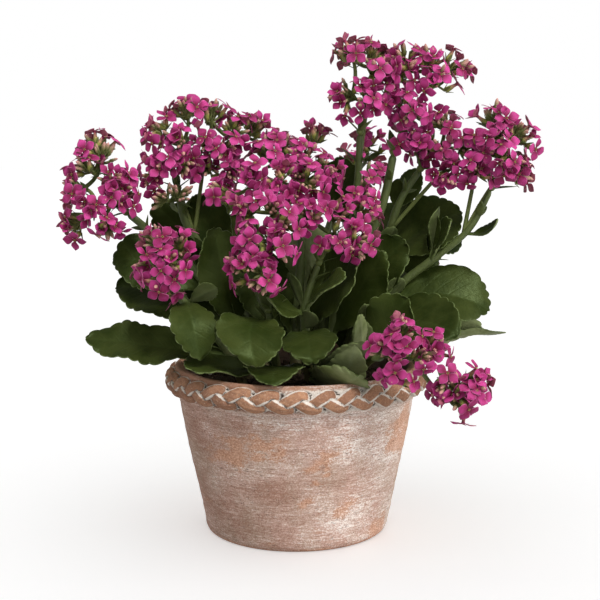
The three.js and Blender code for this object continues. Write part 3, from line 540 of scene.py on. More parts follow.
def shootLine(path):  # a smooth line through all of the points
    points = np.array(path, float)
    points = np.vstack([2 * points[0] - points[1], points, 2 * points[-1] - points[-2]])
    t = np.linspace(0, 1, 60)[:, None]
    parts = []
    for p0, p1, p2, p3 in zip(points, points[1:], points[2:], points[3:]):
        g0, g1, g2 = (np.linalg.norm(b - a) ** 0.5 for a, b in ((p0, p1), (p1, p2), (p2, p3)))
        leave = ((p1 - p0) / g0 - (p2 - p0) / (g0 + g1) + (p2 - p1) / g1) * g1
        reach = ((p2 - p1) / g1 - (p3 - p1) / (g1 + g2) + (p3 - p2) / g2) * g1
        square, cube = 3 * (p2 - p1) - 2 * leave - reach, 2 * (p1 - p2) + leave + reach
        parts.append(p1 + leave * t + square * t**2 + cube * t**3)
    return evenly(np.vstack(parts), 200)


def pointAt(line, height):
    return np.array([np.interp(height, line[:, 2], line[:, k]) for k in range(3)])


shootLines = {name: shootLine(path) for name, (path, _, _) in shoots.items()}

# Each leaf: its shoot, the height it grows at, and its blades as tip, bend, width and roll in degrees.
# A fifth entry is the height that this blade grows at instead.
leaves = {
    "left_low": ("h", 110, [((-124, -26, 120), (0, 0, 0), 32, -35)]),
    "left_hanging": ("h", 142, [((-54, -63, 115), (-1, -4, 10), 26, 0)]),
    "left_upright": ("c", 114, [((-50, -8, 184), (0, 0, 0), 38, -80)]),
    "left_under": ("c", 122, [((-111, 12, 146), (0, 0, 6), 42, -38)]),
    "left_mid": ("c", 139, [((-112, 6, 164), (0, 0, 8), 40, -55)]),
    "left_back": ("d", 136, [((-90, 34, 196), (0, 0, 3), 30, -60), ((-38, 66, 190), (0, 0, 0), 30, 0)]),
    "left_tall": ("d", 150, [((-63, 18, 202), (0, 0, 3), 28, -70)]),
    "front_pair": ("g", 96, [((-62, -62, 110), (0, -2, 3), 32, -15), ((-13, -77, 104), (0, 0, 7), 34, 0)]),
    "front_cupped": ("f", 100, [((38, -64, 126), (0, 0, -7), 21, -20)]),
    "front_under": ("f", 136, [((-17, -46, 148), (0, 0, -2), 18, -40)]),
    "front_big": ("g", 130, [((-22, -73, 113), (-7, -4, 11), 38, -8)]),
    "front_rim": ("f", 94, [((34, -74, 108), (0, -4, -2), 32, -32),
        ((33, -62, 123), (4, -4, -9), 22, -38)]),
    "front_right": ("f", 124, [((8, -62, 113), (0, -2, 5), 33, 6)]),
    "front_small": ("f", 138, [((27, -52, 160), (0, 0, 3), 20, 40)]),
    "front_upright": ("e", 114, [((38, -20, 172), (0, 0, 3), 46, 60),
        ((-34, -2, 170), (0, 0, 0), 38, -75)]),
    "right_upright": ("a", 112, [((52, -8, 170), (0, 0, 0), 38, 75)]),
    "right_inner": ("a", 126, [((66, 2, 176), (0, 0, 2), 34, 65)]),
    "right_pair": ("j", 104, [((64, -44, 147), (0, 0, 2), 32, 75), ((36, -60, 140), (0, 0, 0), 12, 50)]),
    "right_pale": ("b", 110, [((113, 2, 123), (0, 0, 2), 27, -58), ((128, 2, 119), (0, 0, 3), 12, -30)]),
    "right_lower": ("b", 120, [((93, -42, 125), (0, 0, 8), 38, 45)]),
    "right_big": ("b", 138, [((115, -12, 135), (0, 0, 8), 42, 45)]),
    "right_twin": ("b", 164, [((91, -18, 189), (0, 0, 2), 18, 60),
        ((119, -14, 190), (2, 0, -3), 12, 25, 181), ((100, 30, 178), (0, 0, 3), 20, 60)]),
    "right_broad": ("m", 160, [((101, 12, 192), (0, 0, 3), 45, 44), ((66, 58, 196), (0, 0, 0), 30, 0),
        ((90, 20, 166), (0, 0, 3), 34, 65)]),
    "top_small": ("m", 192, [((75, 24, 218), (0, 0, 0), 15, 60)]),
    "top_tall": ("l", 178, [((26, 30, 225), (0, 0, 0), 30, -60)]),
    "back_middle": ("k", 112, [((14, 102, 126), (0, 0, 8), 38, 0), ((8, 18, 184), (0, 0, 0), 40, 0),
        ((-24, 30, 122), (0, 0, 4), 36, -75), ((46, 24, 120), (0, 0, 4), 36, 75)]),
    "back_left": ("n", 108, [((-62, 88, 124), (0, 0, 8), 38, 0), ((-20, 98, 120), (0, 0, 8), 34, 0),
        ((-64, 28, 116), (0, 0, 4), 36, -75)]),
    "back_far_left": ("d", 112, [((-100, 46, 138), (0, 0, 8), 38, 0), ((-72, 66, 150), (0, 0, 5), 34, 0)]),
    "back_right": ("o", 104, [((84, 88, 122), (0, 0, 8), 38, 0), ((50, 98, 118), (0, 0, 8), 34, 0)]),
    "back_far_right": ("o", 118, [((118, 44, 142), (0, 0, 8), 38, 0), ((76, 80, 164), (0, 0, 3), 32, 0)]),
}


def makeShoot(name, material):
    line = evenly(shootLines[name], stem["rows"])
    start, end = shoots[name][1] * stem["lowShare"], shoots[name][2] * stem["topShare"]
    share = np.linspace(0, 1, stem["rows"])
    radii = start + (end - start) * share
    for height in [height for shoot, height, _ in leaves.values() if shoot == name]:
        near = np.exp(-(((line[:, 2] - height) / stem["swellingLength"]) ** 2))
        radii = radii * (1 + stem["swelling"] * near)
    radii = radii * (1 - 0.75 * smooth(share, 0.985, 1.0))  # rounds the hidden top
    rings = tubeRings(line, radii, stem["sides"])
    ribs = stem["rib"] * np.sin(3 * around(stem["sides"])[None, :, None] + 6 * share[:, None, None])
    rings = line[:, None] + (rings - line[:, None]) * (1 + ribs)
    shape = newShape()
    addLoft(shape, rings, woody=(1 - smooth(line[:, 2], 85, 125))[:, None])
    makePiece("stem_" + name, shape, material, "stem", "shoot_" + name)


def stemSkin():
    material, tree = newMaterial("shoot_green", Specular_IOR_Level=0.45)
    patches, grain = mottled(tree, 120.0, (1, 1, 0.35))
    colour = blend(patches, *stem["green"])
    colour = blend(times(grain, 0.35), colour, stem["grain"])
    colour = blend(times(mark(tree, "woody"), 0.7), colour, stem["woody"])
    rough = fade(grain, 0.3, 0.7, 0.42, 0.60)
    return finishMaterial(material, colour, rough, grain, 0.0004)


shootGreen = stemSkin()
for shootName in shoots:
    makeShoot(shootName, shootGreen)
print("shoots made")

# The leaves
leaf = {
    "petioleShare": 0.14, "petioleWidth": 4.4, "petioleThickness": 3.2, "thickness": 2.2,
    "edge": 0.8, "cup": 0.18, "tooth": 1.7, "toothPitch": 6.8, "wave": 1.5, "waveLength": 26, "step": 0.85,
    "edgeGap": 3.5, "youngLength": (17, 34), "youngWidth": (9, 15), "youngPale": 0.68,
    "dark": [(0.010, 0.0175, 0.0026), (0.024, 0.035, 0.0062)], "patch": (0.037, 0.048, 0.0105),
    "vein": (0.060, 0.095, 0.030), "rib": (0.070, 0.100, 0.030), "margin": (0.15, 0.19, 0.07),
    "under": [(0.115, 0.142, 0.050), (0.240, 0.270, 0.130)], "underRib": (0.22, 0.25, 0.13),
    "stalk": (0.075, 0.105, 0.03), "tint": (0.75, 1.0, 0.45, 1.0),
}


def bladeShare(t):
    u = np.clip((t - leaf["petioleShare"]) / (1 - leaf["petioleShare"]), 0, 1)
    return np.sin(np.pi * u**1.25).clip(0, 1) ** 0.62


def addBlade(shape, base, tip, bend, width, roll, rng, pale=1.0):
    tip, bend = np.clip(tip, boxLow + leaf["edgeGap"], boxHigh - leaf["edgeGap"]), np.array(bend, float)
    middle = (base + tip) / 2 + 2 * bend
    t = np.linspace(0.02, 0.9995, 1200)
    gone = runLength(bezier(base, middle, tip, t))
    stalk = leaf["petioleWidth"] / 2 * min(1, width / 20)
    half = np.maximum(stalk * (1 - smooth(t, 0.9, 1.0)), width / 2 * bladeShare(t))
    rim = np.concatenate([[0], np.cumsum(np.hypot(np.diff(gone), np.diff(half)))])
    rows = int(max(rim[-1] / leaf["step"], 24))
    at = np.linspace(0, rim[-1], rows)
    t, x, half = (np.interp(at, rim, values) for values in (t, gone, half))
    runX, runY = np.gradient(x), np.gradient(half)
    long = np.hypot(runX, runY)
    outX, outY = -runY / long, runX / long

    # columns: close together at the margin and the midrib, on both halves
    tight = np.minimum(1, half / 7)[:, None]
    inner = half[:, None] - 2.3 * tight
    steps = [0 * tight, 0.9 * tight] + [inner * s for s in (0.3, 0.55, 0.8, 1.0)]
    steps += [half[:, None] - 0.8 * tight, half[:, None]]
    right = np.sort(np.concatenate(steps, 1), axis=1)
    y = np.concatenate([right[:, ::-1], -right[:, 1:]], 1)
    share = np.abs(y) / half[:, None]

    # scalloped teeth push the margin along its own outward direction
    tooth = np.zeros_like(y)
    grown = smooth(t, leaf["petioleShare"] + 0.05, 0.35)[:, None]
    small = min(1, width / 26)
    for side in (1, -1):
        uneven = at + 1.6 * np.sin(at / 9 + rng.uniform(0, 6)) + 0.7 * np.sin(at / 3.7 + rng.uniform(0, 6))
        lobe = np.abs(np.sin(np.pi * (uneven / (leaf["toothPitch"] * small) + rng.random()))) ** 0.5
        depth = leaf["tooth"] * small * (1 + 0.45 * np.sin(at / 7 + rng.uniform(0, 6)))
        push = (depth * (lobe - 0.7))[:, None] * grown * share**5
        tooth = np.where(np.sign(y) == side, push, tooth)
    waves = np.zeros_like(y)
    for side in (1, -1):
        wave = np.sin(2 * np.pi * at / (leaf["waveLength"] * rng.uniform(0.8, 1.3)) + rng.uniform(0, 6))
        tall = leaf["wave"] * min(1, width / 30) * rng.uniform(0.6, 1.4)
        waves = np.where(np.sign(y) == side, (tall * wave)[:, None] * share**2 * grown, waves)
    lift = leaf["cup"] * half[:, None] * share**1.5 + waves
    lift = lift + 0.5 * np.sin(at / 17 + rng.uniform(0, 6))[:, None] * grown * (1 - share**2)
    petiole = (1 - smooth(t, 0.08, 0.26))[:, None]
    thin = min(1, width / 22)
    thick = leaf["thickness"] * (1 - petiole) + leaf["petioleThickness"] * petiole
    thick = (leaf["edge"] + (thick - leaf["edge"]) * np.maximum(1 - share**2, 0) ** 0.7) * thin
    thick = thick * (1 - 0.5 * smooth(t, 0.93, 1.0)[:, None])
    rib = np.exp(-((y / 1.3) ** 2)) * (1 - petiole) * (1 - smooth(t, 0.75, 1.0)[:, None])
    top, bottom = lift + thick / 2 - 0.3 * rib, lift - thick / 2 - 0.6 * rib

    spine = bezier(base, middle, tip, t)
    along = unit(2 * (1 - t[:, None]) * (middle - base) + 2 * t[:, None] * (tip - middle))
    level = unit(np.cross(up, tip - base))
    across = spin(np.broadcast_to(level, along.shape), along, math.radians(roll))
    over = unit(np.cross(along, across))

    def laidOut(y, lift, tooth):
        forward = (outX[:, None] * tooth)[..., None] * along[:, None]
        sideways = (y + np.sign(y) * outY[:, None] * tooth)[..., None] * across[:, None]
        return spine[:, None] + forward + sideways + lift[..., None] * over[:, None]

    # the ring runs over the top from right to left, round the left margin, back below, round the right
    proud = leaf["edge"] * 0.4 * thin
    leftRim = laidOut(y[:, -1:], lift[:, -1:], tooth[:, -1:] + proud)
    rightRim = laidOut(y[:, :1], lift[:, :1], tooth[:, :1] + proud)
    lowSide = laidOut(y[:, ::-1], bottom[:, ::-1], tooth[:, ::-1])
    rings = np.concatenate([laidOut(y, top, tooth), leftRim, lowSide, rightRim], 1)
    inward, blank, count = half[:, None] - np.abs(y), np.zeros((rows, 1)), y.shape[1]
    under = np.concatenate([np.zeros((rows, count)), blank + 0.5, np.ones((rows, count)), blank + 0.5], 1)
    margin = np.concatenate([inward, blank, inward[:, ::-1], blank], 1)
    sideways = np.concatenate([y, y[:, -1:], y[:, ::-1], y[:, :1]], 1)
    addLoft(shape, rings, under=under * pale, margin=margin, along=x[:, None], across=sideways,
            stalk=petiole, tone=rng.random())


def leafSkin():
    material, tree = newMaterial("leaf_green", Specular_IOR_Level=0.14, Specular_Tint=leaf["tint"])
    names = ("under", "margin", "tone", "along", "across", "stalk")
    under, margin, tone, along, across, stalk = mark(tree, *names)
    patches, grain = mottled(tree, 55.0)
    lines = times(veined(tree, along, across, 0.85, 8.5), fade(margin, 1.5, 6.0))
    rib = fade(maths("ABSOLUTE", across), 0.3, 1.3, 1.0, 0.0)
    green = blend(patches, blend(tone, *leaf["dark"]), leaf["patch"])
    green = blend(times(lines, 0.05), green, leaf["vein"])
    green = blend(times(rib, 0.08), green, leaf["rib"])
    pale = blend(times(rib, 0.4), blend(patches, *leaf["under"]), leaf["underRib"])
    colour = blend(fade(under, 0.55, 0.9), green, pale)
    # a pale line along the margin: partly the leaf's own paler edge, partly a painted highlight where light
    # catches the rim
    line = times(fade(margin, 0.0, 0.38, 1.0, 0.0), fade(grain, 0.38, 0.62, 0.10, 0.75))
    colour = blend(line, colour, leaf["margin"])
    colour = blend(times(stalk, 0.6), colour, leaf["stalk"])
    rough = fade(grain, 0.3, 0.7, 0.30, 0.42)
    height = addShare(times(grain, 0.35), lines, -0.10)
    return finishMaterial(material, colour, rough, height, 0.0005)


leafGreen = leafSkin()
for index, (leafName, (shoot, height, blades)) in enumerate(leaves.items()):
    line = shootLines[shoot]
    base = pointAt(line, height)
    shape = newShape()
    rng = np.random.default_rng(100 + index)
    for tip, bend, width, roll, *higher in blades:
        start = pointAt(line, higher[0]) if higher else base
        addBlade(shape, start, tip, bend, width, roll, rng)
        # and a young leaf in its axil
        heading = unit(unit(np.array(tip) - base) * rng.uniform(0.2, 0.8) + up + rng.normal(0, 0.3, 3))
        youngTip = base + heading * rng.uniform(*leaf["youngLength"])
        youngWidth, youngRoll = rng.uniform(*leaf["youngWidth"]), rng.uniform(-70, 70)
        addBlade(shape, base, youngTip, (0, 0, 1), youngWidth, youngRoll, rng, leaf["youngPale"])
    makePiece("foliage_" + leafName, shape, leafGreen, "leaf", "leaf_" + leafName)
print("leaves made")

# The flower heads: the shoot each crowns, and its umbels as place, facing and flowers. Umbels
# with no flowers hold buds only. A fourth entry is the height on the shoot where the stalk forks off.
heads = {
    "top_left": ("l", [((44, -14, 261), (0.1, -1, 0.2), 4, 190), ((24, -9, 265), (-0.7, -0.6, 0.3), 4),
        ((28, -6, 294), (-0.4, -0.4, 0.8), 5), ((47, 15, 293), (0.2, 0.4, 0.9), 3),
        ((49, -13, 278), (0.2, -0.9, 0.3), 4), ((62, -8, 277), (0, -0.9, 0.3), 3)]),
    "top_right": ("a", [((68, -13, 255), (0.1, -1, 0.2), 4), ((58, 6, 251), (-0.8, -0.2, 0.1), 3),
        ((84, -12, 272), (0.2, -0.9, 0.2), 4), ((81, 4, 290), (0.1, -0.2, 1), 3),
        ((55, -8, 264), (0, -1, 0.1), 3), ((61, 2, 291.5), (-0.3, -0.2, 0.9), 4),
        ((102, 2, 282), (0.9, -0.2, 0.4), 3), ((65, -5, 238), (-0.2, -0.9, 0.1), 3)]),
    "right_inner": ("m", [((73, -2, 232), (-0.6, -0.8, 0.1), 3), ((87, -12, 232), (0.1, -1, 0.1), 4),
        ((87, -4, 252), (-0.1, -0.5, 0.8), 4), ((89, -14, 214), (0, -0.9, -0.3), 3, 180),
        ((99, -12, 233), (0.1, -1, 0.1), 3)]),
    "right_outer": ("b", [((109, -19, 229), (-0.2, -1, 0), 4), ((126, -26, 224), (0.3, -0.9, -0.1), 4),
        ((137, -13, 217), (0.9, -0.4, -0.1), 3, 180), ((118, -20, 242), (0.1, -0.8, 0.5), 3),
        ((114, -4, 257), (-0.2, 0, 1), 4), ((138, -8, 244), (0.7, -0.2, 0.6), 4),
        ((104, -18, 216), (-0.2, -0.9, -0.3), 3, 180)]),
    "far_left": ("c", [((-104, -24, 202), (0.3, -0.9, 0), 4), ((-111, -26, 183), (0.1, -0.8, -0.5), 3),
        ((-122, -27, 198), (-0.3, -0.9, -0.1), 3), ((-137, -14, 184), (-0.8, -0.3, -0.5), 3),
        ((-107, -18, 218), (0.2, -0.8, 0.5), 4), ((-138, -12, 209), (-0.9, -0.3, 0.1), 4),
        ((-129, -12, 224), (-0.7, -0.4, 0.5), 3), ((-120, -4, 240), (-0.2, 0, 1), 4),
        ((-98, -14, 208), (0.6, -0.8, 0), 3), ((-113, -10, 234), (0.2, -0.3, 1), 0)]),
    "left": ("d", [((-84, -4, 222), (-0.4, -0.9, 0), 3, 178), ((-70, -7, 237), (-0.1, -0.9, 0.3), 4),
        ((-53, -5, 236), (0.1, -1, 0.2), 4, 178), ((-89, 4, 245), (-0.7, -0.3, 0.6), 4),
        ((-68, 10, 262), (-0.2, 0, 1), 4), ((-50, 14, 259), (0.1, 0.1, 1), 3),
        ((-35, 7, 249), (0.3, -0.5, 0.8), 4), ((-20, 19, 248), (0.7, 0.1, 0.7), 3),
        ((-66, -6, 220), (0.2, -0.9, -0.3), 3), ((-40, -7, 232), (0.3, -0.9, 0.1), 3),
        ((-89, -4, 213), (-0.4, -0.9, -0.2), 3), ((-52, -2, 219), (0.1, -1, 0), 3),
        ((-37, -5, 217), (0.2, -1, -0.1), 3), ((-80, -8, 208), (-0.2, -0.7, 0.6), 0),
        ((-68, -8, 206), (0.3, -0.8, 0.4), 0)]),
    "middle": ("e", [((9, -30, 212), (0.3, -0.9, 0.1), 3), ((-9, -31, 217), (0, -0.9, 0.4), 4),
        ((-30, -26, 216), (-0.5, -0.8, 0.4), 4), ((-51, -20, 207), (-0.9, -0.4, 0.2), 3),
        ((24, -14, 221), (0.7, -0.6, 0.3), 4), ((5, -4, 236), (0.1, -0.3, 0.9), 4),
        ((-20, -2, 236), (-0.3, -0.2, 0.9), 4), ((12, 19, 245), (0.2, 0.2, 1), 3),
        ((-8, -32, 203), (0, -1, -0.2), 3), ((-8, 4, 241), (0, -0.3, 1), 3),
        ((2, -20, 218), (0.1, -1, 0.2), 3)]),
    "middle_right": ("f", [((25, -46, 180), (0.2, -1, -0.1), 4), ((41, -36, 177), (0.7, -0.7, -0.1), 4),
        ((7, -46, 195), (0, -1, 0.2), 3), ((26, -38, 198), (0.3, -0.8, 0.5), 3),
        ((45, -24, 197), (0.7, -0.5, 0.5), 4), ((42, -18, 209), (0.3, -0.8, 0.4), 3)]),
    "middle_low": ("g", [((-17, -61, 159), (0.1, -1, -0.2), 4), ((-36, -56, 166), (-0.7, -0.7, 0), 4),
        ((-8, -60, 179), (0.3, -0.9, 0.1), 4), ((-28, -55, 183), (-0.4, -0.9, 0.1), 4),
        ((-13, -50, 198), (0, -1, 0.2), 3), ((-33, -42, 200), (-0.6, -0.8, 0.3), 4),
        ((-5, -54, 190), (0.4, -0.9, 0), 3)]),
    "left_low": ("h", [((-77, -55, 152), (-0.1, -0.8, -0.5), 4), ((-91, -46, 165), (-0.8, -0.6, 0), 3),
        ((-71, -59, 169), (0.2, -1, 0.1), 3), ((-62, -47, 182), (0.5, -0.6, 0.5), 4),
        ((-82, -43, 187), (-0.4, -0.3, 0.8), 4)]),
    "front_low": ("j", [((53, -91, 112), (-0.1, -0.9, -0.2), 4), ((69, -90, 124), (0.5, -0.8, 0.3), 3),
        ((46, -90, 127), (-0.5, -0.8, 0.3), 4), ((58, -84, 141), (0.1, -0.3, 0.9), 4),
        ((93, -84, 107), (0.3, -0.5, 0.8), 4), ((93, -86, 92), (0.1, -0.9, -0.3), 4),
        ((78, -84, 124), (0.5, -0.8, 0.2), 3), ((80, -86, 103), (-0.3, -0.9, -0.2), 3),
        ((103, -82, 107), (0.7, -0.6, 0.2), 3)]),
    "back": ("k", [((32, 76, 228), (-0.3, 0.3, 0.9), 4), ((38, 92, 210), (0, 0.9, 0.3), 4),
        ((54, 80, 220), (0.6, 0.4, 0.7), 4), ((45, 40, 242), (0, -0.2, 1), 4)]),
    "back_left": ("n", [((-50, 86, 184), (-0.1, 1, 0.1), 4), ((-64, 74, 196), (-0.7, 0.3, 0.6), 4),
        ((-40, 72, 203), (0.3, 0.2, 0.9), 4)]),
    "back_right": ("o", [((84, 80, 168), (0, 0.9, 0.3), 4), ((86, 60, 186), (-0.2, 0.1, 1), 4),
        ((82, 84, 148), (0.2, 0.9, 0.1), 4)]),
}
flower = {
    "stalk": 12.4, "uneven": 1.0, "drawIn": 0.25, "smallDrawIn": 0.8, "turn": 1.1,
    "petalLength": 7.1, "petalHalf": 3.05, "thickness": 0.34, "overlap": 9.0, "tube": 8.4,
    "between": 2, "buds": 8, "budsAlone": 13, "reachNoise": 1.2, "lean": 0.22, "liftShare": 0.18,
    "stalkLean": 0.4, "forkLean": 0.15, "shades": 0.22,
    "pink": [(0.245, 0.011, 0.080), (0.56, 0.048, 0.250)], "bright": (0.55, 0.068, 0.29),
    "vein": (0.52, 0.09, 0.27), "heart": (0.19, 0.007, 0.045), "rim": (0.60, 0.20, 0.38),
    "dusty": [(0.33, 0.060, 0.125), (0.46, 0.15, 0.19)], "neck": [(0.46, 0.24, 0.16), (0.30, 0.32, 0.07)],
    "green": [(0.060, 0.086, 0.016), (0.165, 0.190, 0.048)], "lightGreen": (0.15, 0.18, 0.05),
    "bud": [(0.42, 0.36, 0.18), (0.52, 0.24, 0.22)],
}
corners = [(x, y, z) for x in (1, -1) for y in (1, -1) for z in (1, -1)]
hubFaces = sorted(corners, key=sum, reverse=True)  # the ways that flowers leave a hub
petalRows = np.array([-0.16, -0.06, 0.02, 0.12, 0.28, 0.44, 0.6, 0.75, 0.87, 0.95, 0.992])
petalColumns = np.array([1, 0.8, 0.42, 0, -0.42, -0.8, -1])
# outlines as radius and height
flowerTube = [(0.7, -8.5), (1.35, -7.9), (1.62, -6.8), (1.58, -5.4), (1.25, -3.8), (0.98, -2.2), (0.95, -1.0),
              (1.12, -0.35), (1.38, 0.02), (1.2, 0.12), (0.8, -0.15), (0.55, -0.9)]
budProfile = [(0.4, 0), (0.8, 0.5), (1.0, 1.5), (1.15, 2.9), (1.25, 4.3), (1.2, 5.5), (0.95, 6.6),
              (0.5, 7.4), (0.15, 7.8)]
pollen = [(0.08, -0.4), (0.26, -0.15), (0.28, 0.1), (0.1, 0.32)]
knot = [(0.3, -2.2), (1.3, -1.4), (1.75, 0), (1.3, 1.3), (0.4, 1.9)]
knuckleBall = [(0.3, -0.98), (0.7, -0.7), (0.97, -0.2), (0.97, 0.25), (0.7, 0.72), (0.2, 0.98)]


def petalRings(lift, curl, keel, rng):
    a, b = petalRows[:, None], petalColumns[None]
    grow = np.clip(a, 0, 1)
    half = flower["petalHalf"] * np.sin(np.pi * (0.07 + 0.93 * grow**0.98)) ** 1.1
    half = np.where(a < 0.02, 0.62, half) * rng.uniform(0.92, 1.06)
    out = 1.15 + flower["petalLength"] * a * math.cos(lift) - 0.4 * curl * grow**3
    rise = flower["petalLength"] * grow * math.sin(lift) - curl * grow**2.2
    rise = np.where(a < 0.05, rise - 5.5 * (0.05 - a), rise)
    out = np.where(a < 0.02, np.maximum(out, 0.75), out)
    y = b * half
    ruffle = 0.14 * np.sin(9 * grow + 3 * b + rng.uniform(0, 6)) * np.abs(b) ** 2 * grow
    skew = math.tan(math.radians(flower["overlap"])) * y * (a > 0)
    rise = rise + keel * (b**2 - 0.2) * grow * (half / 3) + skew
    rise = rise + ruffle - 0.16 * np.exp(-((b / 0.22) ** 2)) * grow
    thick = flower["thickness"] * (0.45 + 0.55 * np.maximum(1 - b**2, 0) ** 0.5) / 2 * (1 - 0.4 * grow)
    out = np.broadcast_to(out, rise.shape)
    topSide = np.stack([out, y, rise + thick], -1)
    lowSide = np.stack([out, y, rise - thick], -1)[:, ::-1]
    return np.concatenate([topSide, lowSide], 1)


def leafletRings(length, half, thick, start, lean):  # pointed, leaves the axis at a radius and leans out
    a = np.linspace(0, 1, 7)[:, None]
    b = np.array([1, 0.5, 0, -0.5, -1])[None]
    wide = half * np.maximum(np.sin(np.pi * (0.12 + 0.86 * a)), 0.05) ** 0.8
    y = b * wide
    out = start + length * a * math.sin(lean) + 0.12 * length * a**2 - 0.35 * b**2 * wide
    flat = thick / 2 * (1 - 0.6 * b**2) * (1 - 0.6 * a)
    rise = np.broadcast_to(length * a * math.cos(lean), y.shape)
    inside = np.stack([out - flat, -y, rise], -1)
    outside = np.stack([out + flat, -y, rise], -1)[:, ::-1]
    return np.concatenate([inside, outside], 1)


def addGreen(green, rings, tone, blush=0.0, tip=0.0):
    addLoft(green, rings, blush=blush, tip=tip, tone=tone)


def addFlower(petals, green, centre, basis, rng, young):
    lift = math.radians(rng.uniform(32, 62) if young else rng.normal(6, 10))
    curl = rng.uniform(0, 0.6) if young else rng.uniform(0.5, 2.0)
    tone = rng.random()
    size = rng.uniform(0.74, 0.93) if young else rng.uniform(0.94, 1.07)
    under = np.repeat([0.0, 1.0], len(petalColumns))[None]
    side = np.concatenate([petalColumns, petalColumns[::-1]])[None]
    for k in range(4):
        rings = petalRings(lift + math.radians(rng.normal(0, 4)), curl * rng.uniform(0.7, 1.3),
                           rng.uniform(-0.75, 0.5), rng)
        rings = turned(rings, k * np.pi / 2 + rng.normal(0, 0.05)) * size
        # each petal's tone shifts a little from its flower's: partly natural variation, partly painted light
        # and shade between the petals
        shade = min(max(tone + flower["shades"] * math.sin(2.6 * k + 9 * tone), 0), 1)
        addLoft(petals, centre + rings @ basis, along=np.clip(petalRows[:, None], 0, 1), across=side,
                under=under, tone=shade, tube=0.0)
    low = smooth(-np.array(flowerTube)[:, 1:], 0, 8.5)
    plain = {"along": 0.0, "across": 0.0, "under": 0.0, "tone": tone}
    addLoft(petals, centre + revolved(flowerTube, 10) @ basis, tube=0.04 + 0.96 * low, **plain)
    for k in range(4):
        grain = revolved(pollen, 6) + turned(np.array([[0.55, 0, 0.12]]), (k + 0.5) * np.pi / 2)
        addLoft(petals, centre + grain @ basis, tube=0.62, **plain)
    for k in range(4):
        sepal = leafletRings(4.6, 0.85, 0.35, 1.25, math.radians(24))
        sepal = turned(sepal, (k + 0.5) * np.pi / 2 + 0.3) + np.array([0, 0, -8.6])
        addGreen(green, centre + sepal @ basis, tone, 0.12)


def addBud(green, base, direction, size, rng):
    basis = axesAlong(direction)
    rings = revolved(budProfile, 8) * size * np.array([1, 1, rng.uniform(0.95, 1.2)])
    tip = np.linspace(0, 1, len(budProfile))[:, None]
    addGreen(green, base + rings @ basis, rng.random(), smooth(tip, 0.25, 0.75), tip)
    for k in range(4):
        sepal = leafletRings(3.0 * size, 0.8 * size, 0.3, 1.0 * size, math.radians(14))
        addGreen(green, base + turned(sepal, (k + 0.5) * np.pi / 2) @ basis, 0.5, 0.1)


def addBracts(green, spot, heading, count, lengths, rng):
    basis = axesAlong(heading)
    start = rng.uniform(0, np.pi)
    for k in range(count):
        length = rng.uniform(*lengths)
        half = length * rng.uniform(0.16, 0.24)
        bract = leafletRings(length, half, 0.6, 1.0, math.radians(rng.uniform(30, 62)))
        bract = turned(bract, start + k * 2 * np.pi / count)
        addGreen(green, spot + bract @ basis, -1.0)


def umbelFrame(facing, turn):
    tilt = Vector((1, 1, 1)).rotation_difference(Vector(facing)).to_matrix()
    return np.array(Matrix.Rotation(turn, 3, Vector(facing)) @ tilt)


def addUmbel(petals, green, at, facing, count, turn, reached, lean, rng):
    facing = unit(np.array(facing, float))
    hub = np.array(at, float) - flower["stalk"] * facing
    source = reached[int(np.argmin([np.linalg.norm(spot - hub) for spot in reached]))]
    bendPoint = hub - lean * np.linalg.norm(source - hub) * facing
    line = bezier(source, bendPoint, hub, np.linspace(0, 1, 14))
    addGreen(green, tubeRings(line, np.linspace(1.35, 1.0, 14), 9), rng.random())
    frameOf = umbelFrame(facing, turn)
    addGreen(green, hub + revolved(knot, 9) @ frameOf.T, rng.random())
    small = 0 < count < 4
    drawIn = flower["smallDrawIn"] if small else flower["drawIn"]
    outs = []

    def growFlower(outward, side, reach, young):
        centre = hub + outward * (reach + rng.normal(0, flower["reachNoise"]))
        axis = unit(outward + flower["liftShare"] * up + rng.normal(0, flower["lean"], 3))
        side = unit(side - dot(side, axis) * axis)
        side = spin(side, axis, rng.normal(0, 0.3))
        addFlower(petals, green, centre, np.stack([side, np.cross(axis, side), axis]), rng, young)
        base = centre - axis * (flower["tube"] + 0.1)
        stalkLine = bezier(hub, hub + (base - hub) * 0.6 + rng.normal(0, 0.3, 3), base, np.linspace(0, 1, 6))
        addGreen(green, tubeRings(stalkLine, np.linspace(0.6, 0.75, 6), 7), rng.random(), 0.2)

    for i, face in enumerate(hubFaces):
        if not (0 < i <= count if small else i < count):
            continue
        outward = unit(frameOf @ unit(np.array(face, float)) + drawIn * facing)
        reach = flower["stalk"] + flower["uneven"] * math.sin(2.4 * i + turn)
        first = np.array([face[0], 0, 0]) if face[0] * face[1] * face[2] > 0 else np.array([0, 0, face[2]])
        outward = unit(outward + rng.normal(0, 0.12, 3))
        growFlower(outward, frameOf @ first, reach, rng.random() < 0.1)
        outs.append(outward)
    # half-open flowers between neighbours, and buds
    pairs = [(i, j) for i in range(len(outs)) for j in range(i) if outs[i] @ outs[j] > 0]
    rng.shuffle(pairs)
    for i, j in pairs[:flower["between"]]:
        outward = unit(outs[i] + outs[j] + rng.normal(0, 0.12, 3))
        growFlower(outward, outs[i], flower["stalk"] - rng.uniform(1.0, 5.0), True)
    for _ in range(flower["buds"] if count else flower["budsAlone"]):
        if count:
            i, j = rng.choice(len(outs), 2, replace=False)
            between = outs[i] + outs[j] * rng.uniform(0.3, 1.0)
            direction = unit(between + facing * 0.3 + rng.normal(0, 0.25, 3))
        else:
            direction = unit(facing + rng.normal(0, 0.45, 3))
        size = rng.uniform(0.62, 1.0)
        base = hub + direction * rng.uniform(3.5, 8.0)
        stalk = tubeRings(np.stack([hub, (hub + base) / 2, base]), np.array([0.5, 0.5, 0.6]), 6)
        addGreen(green, stalk, rng.random(), 0.15)
        addBud(green, base, direction, size, rng)
    addBracts(green, line[-5], unit(line[-4] - line[-6]), 2, (6, 11), rng)
    return hub


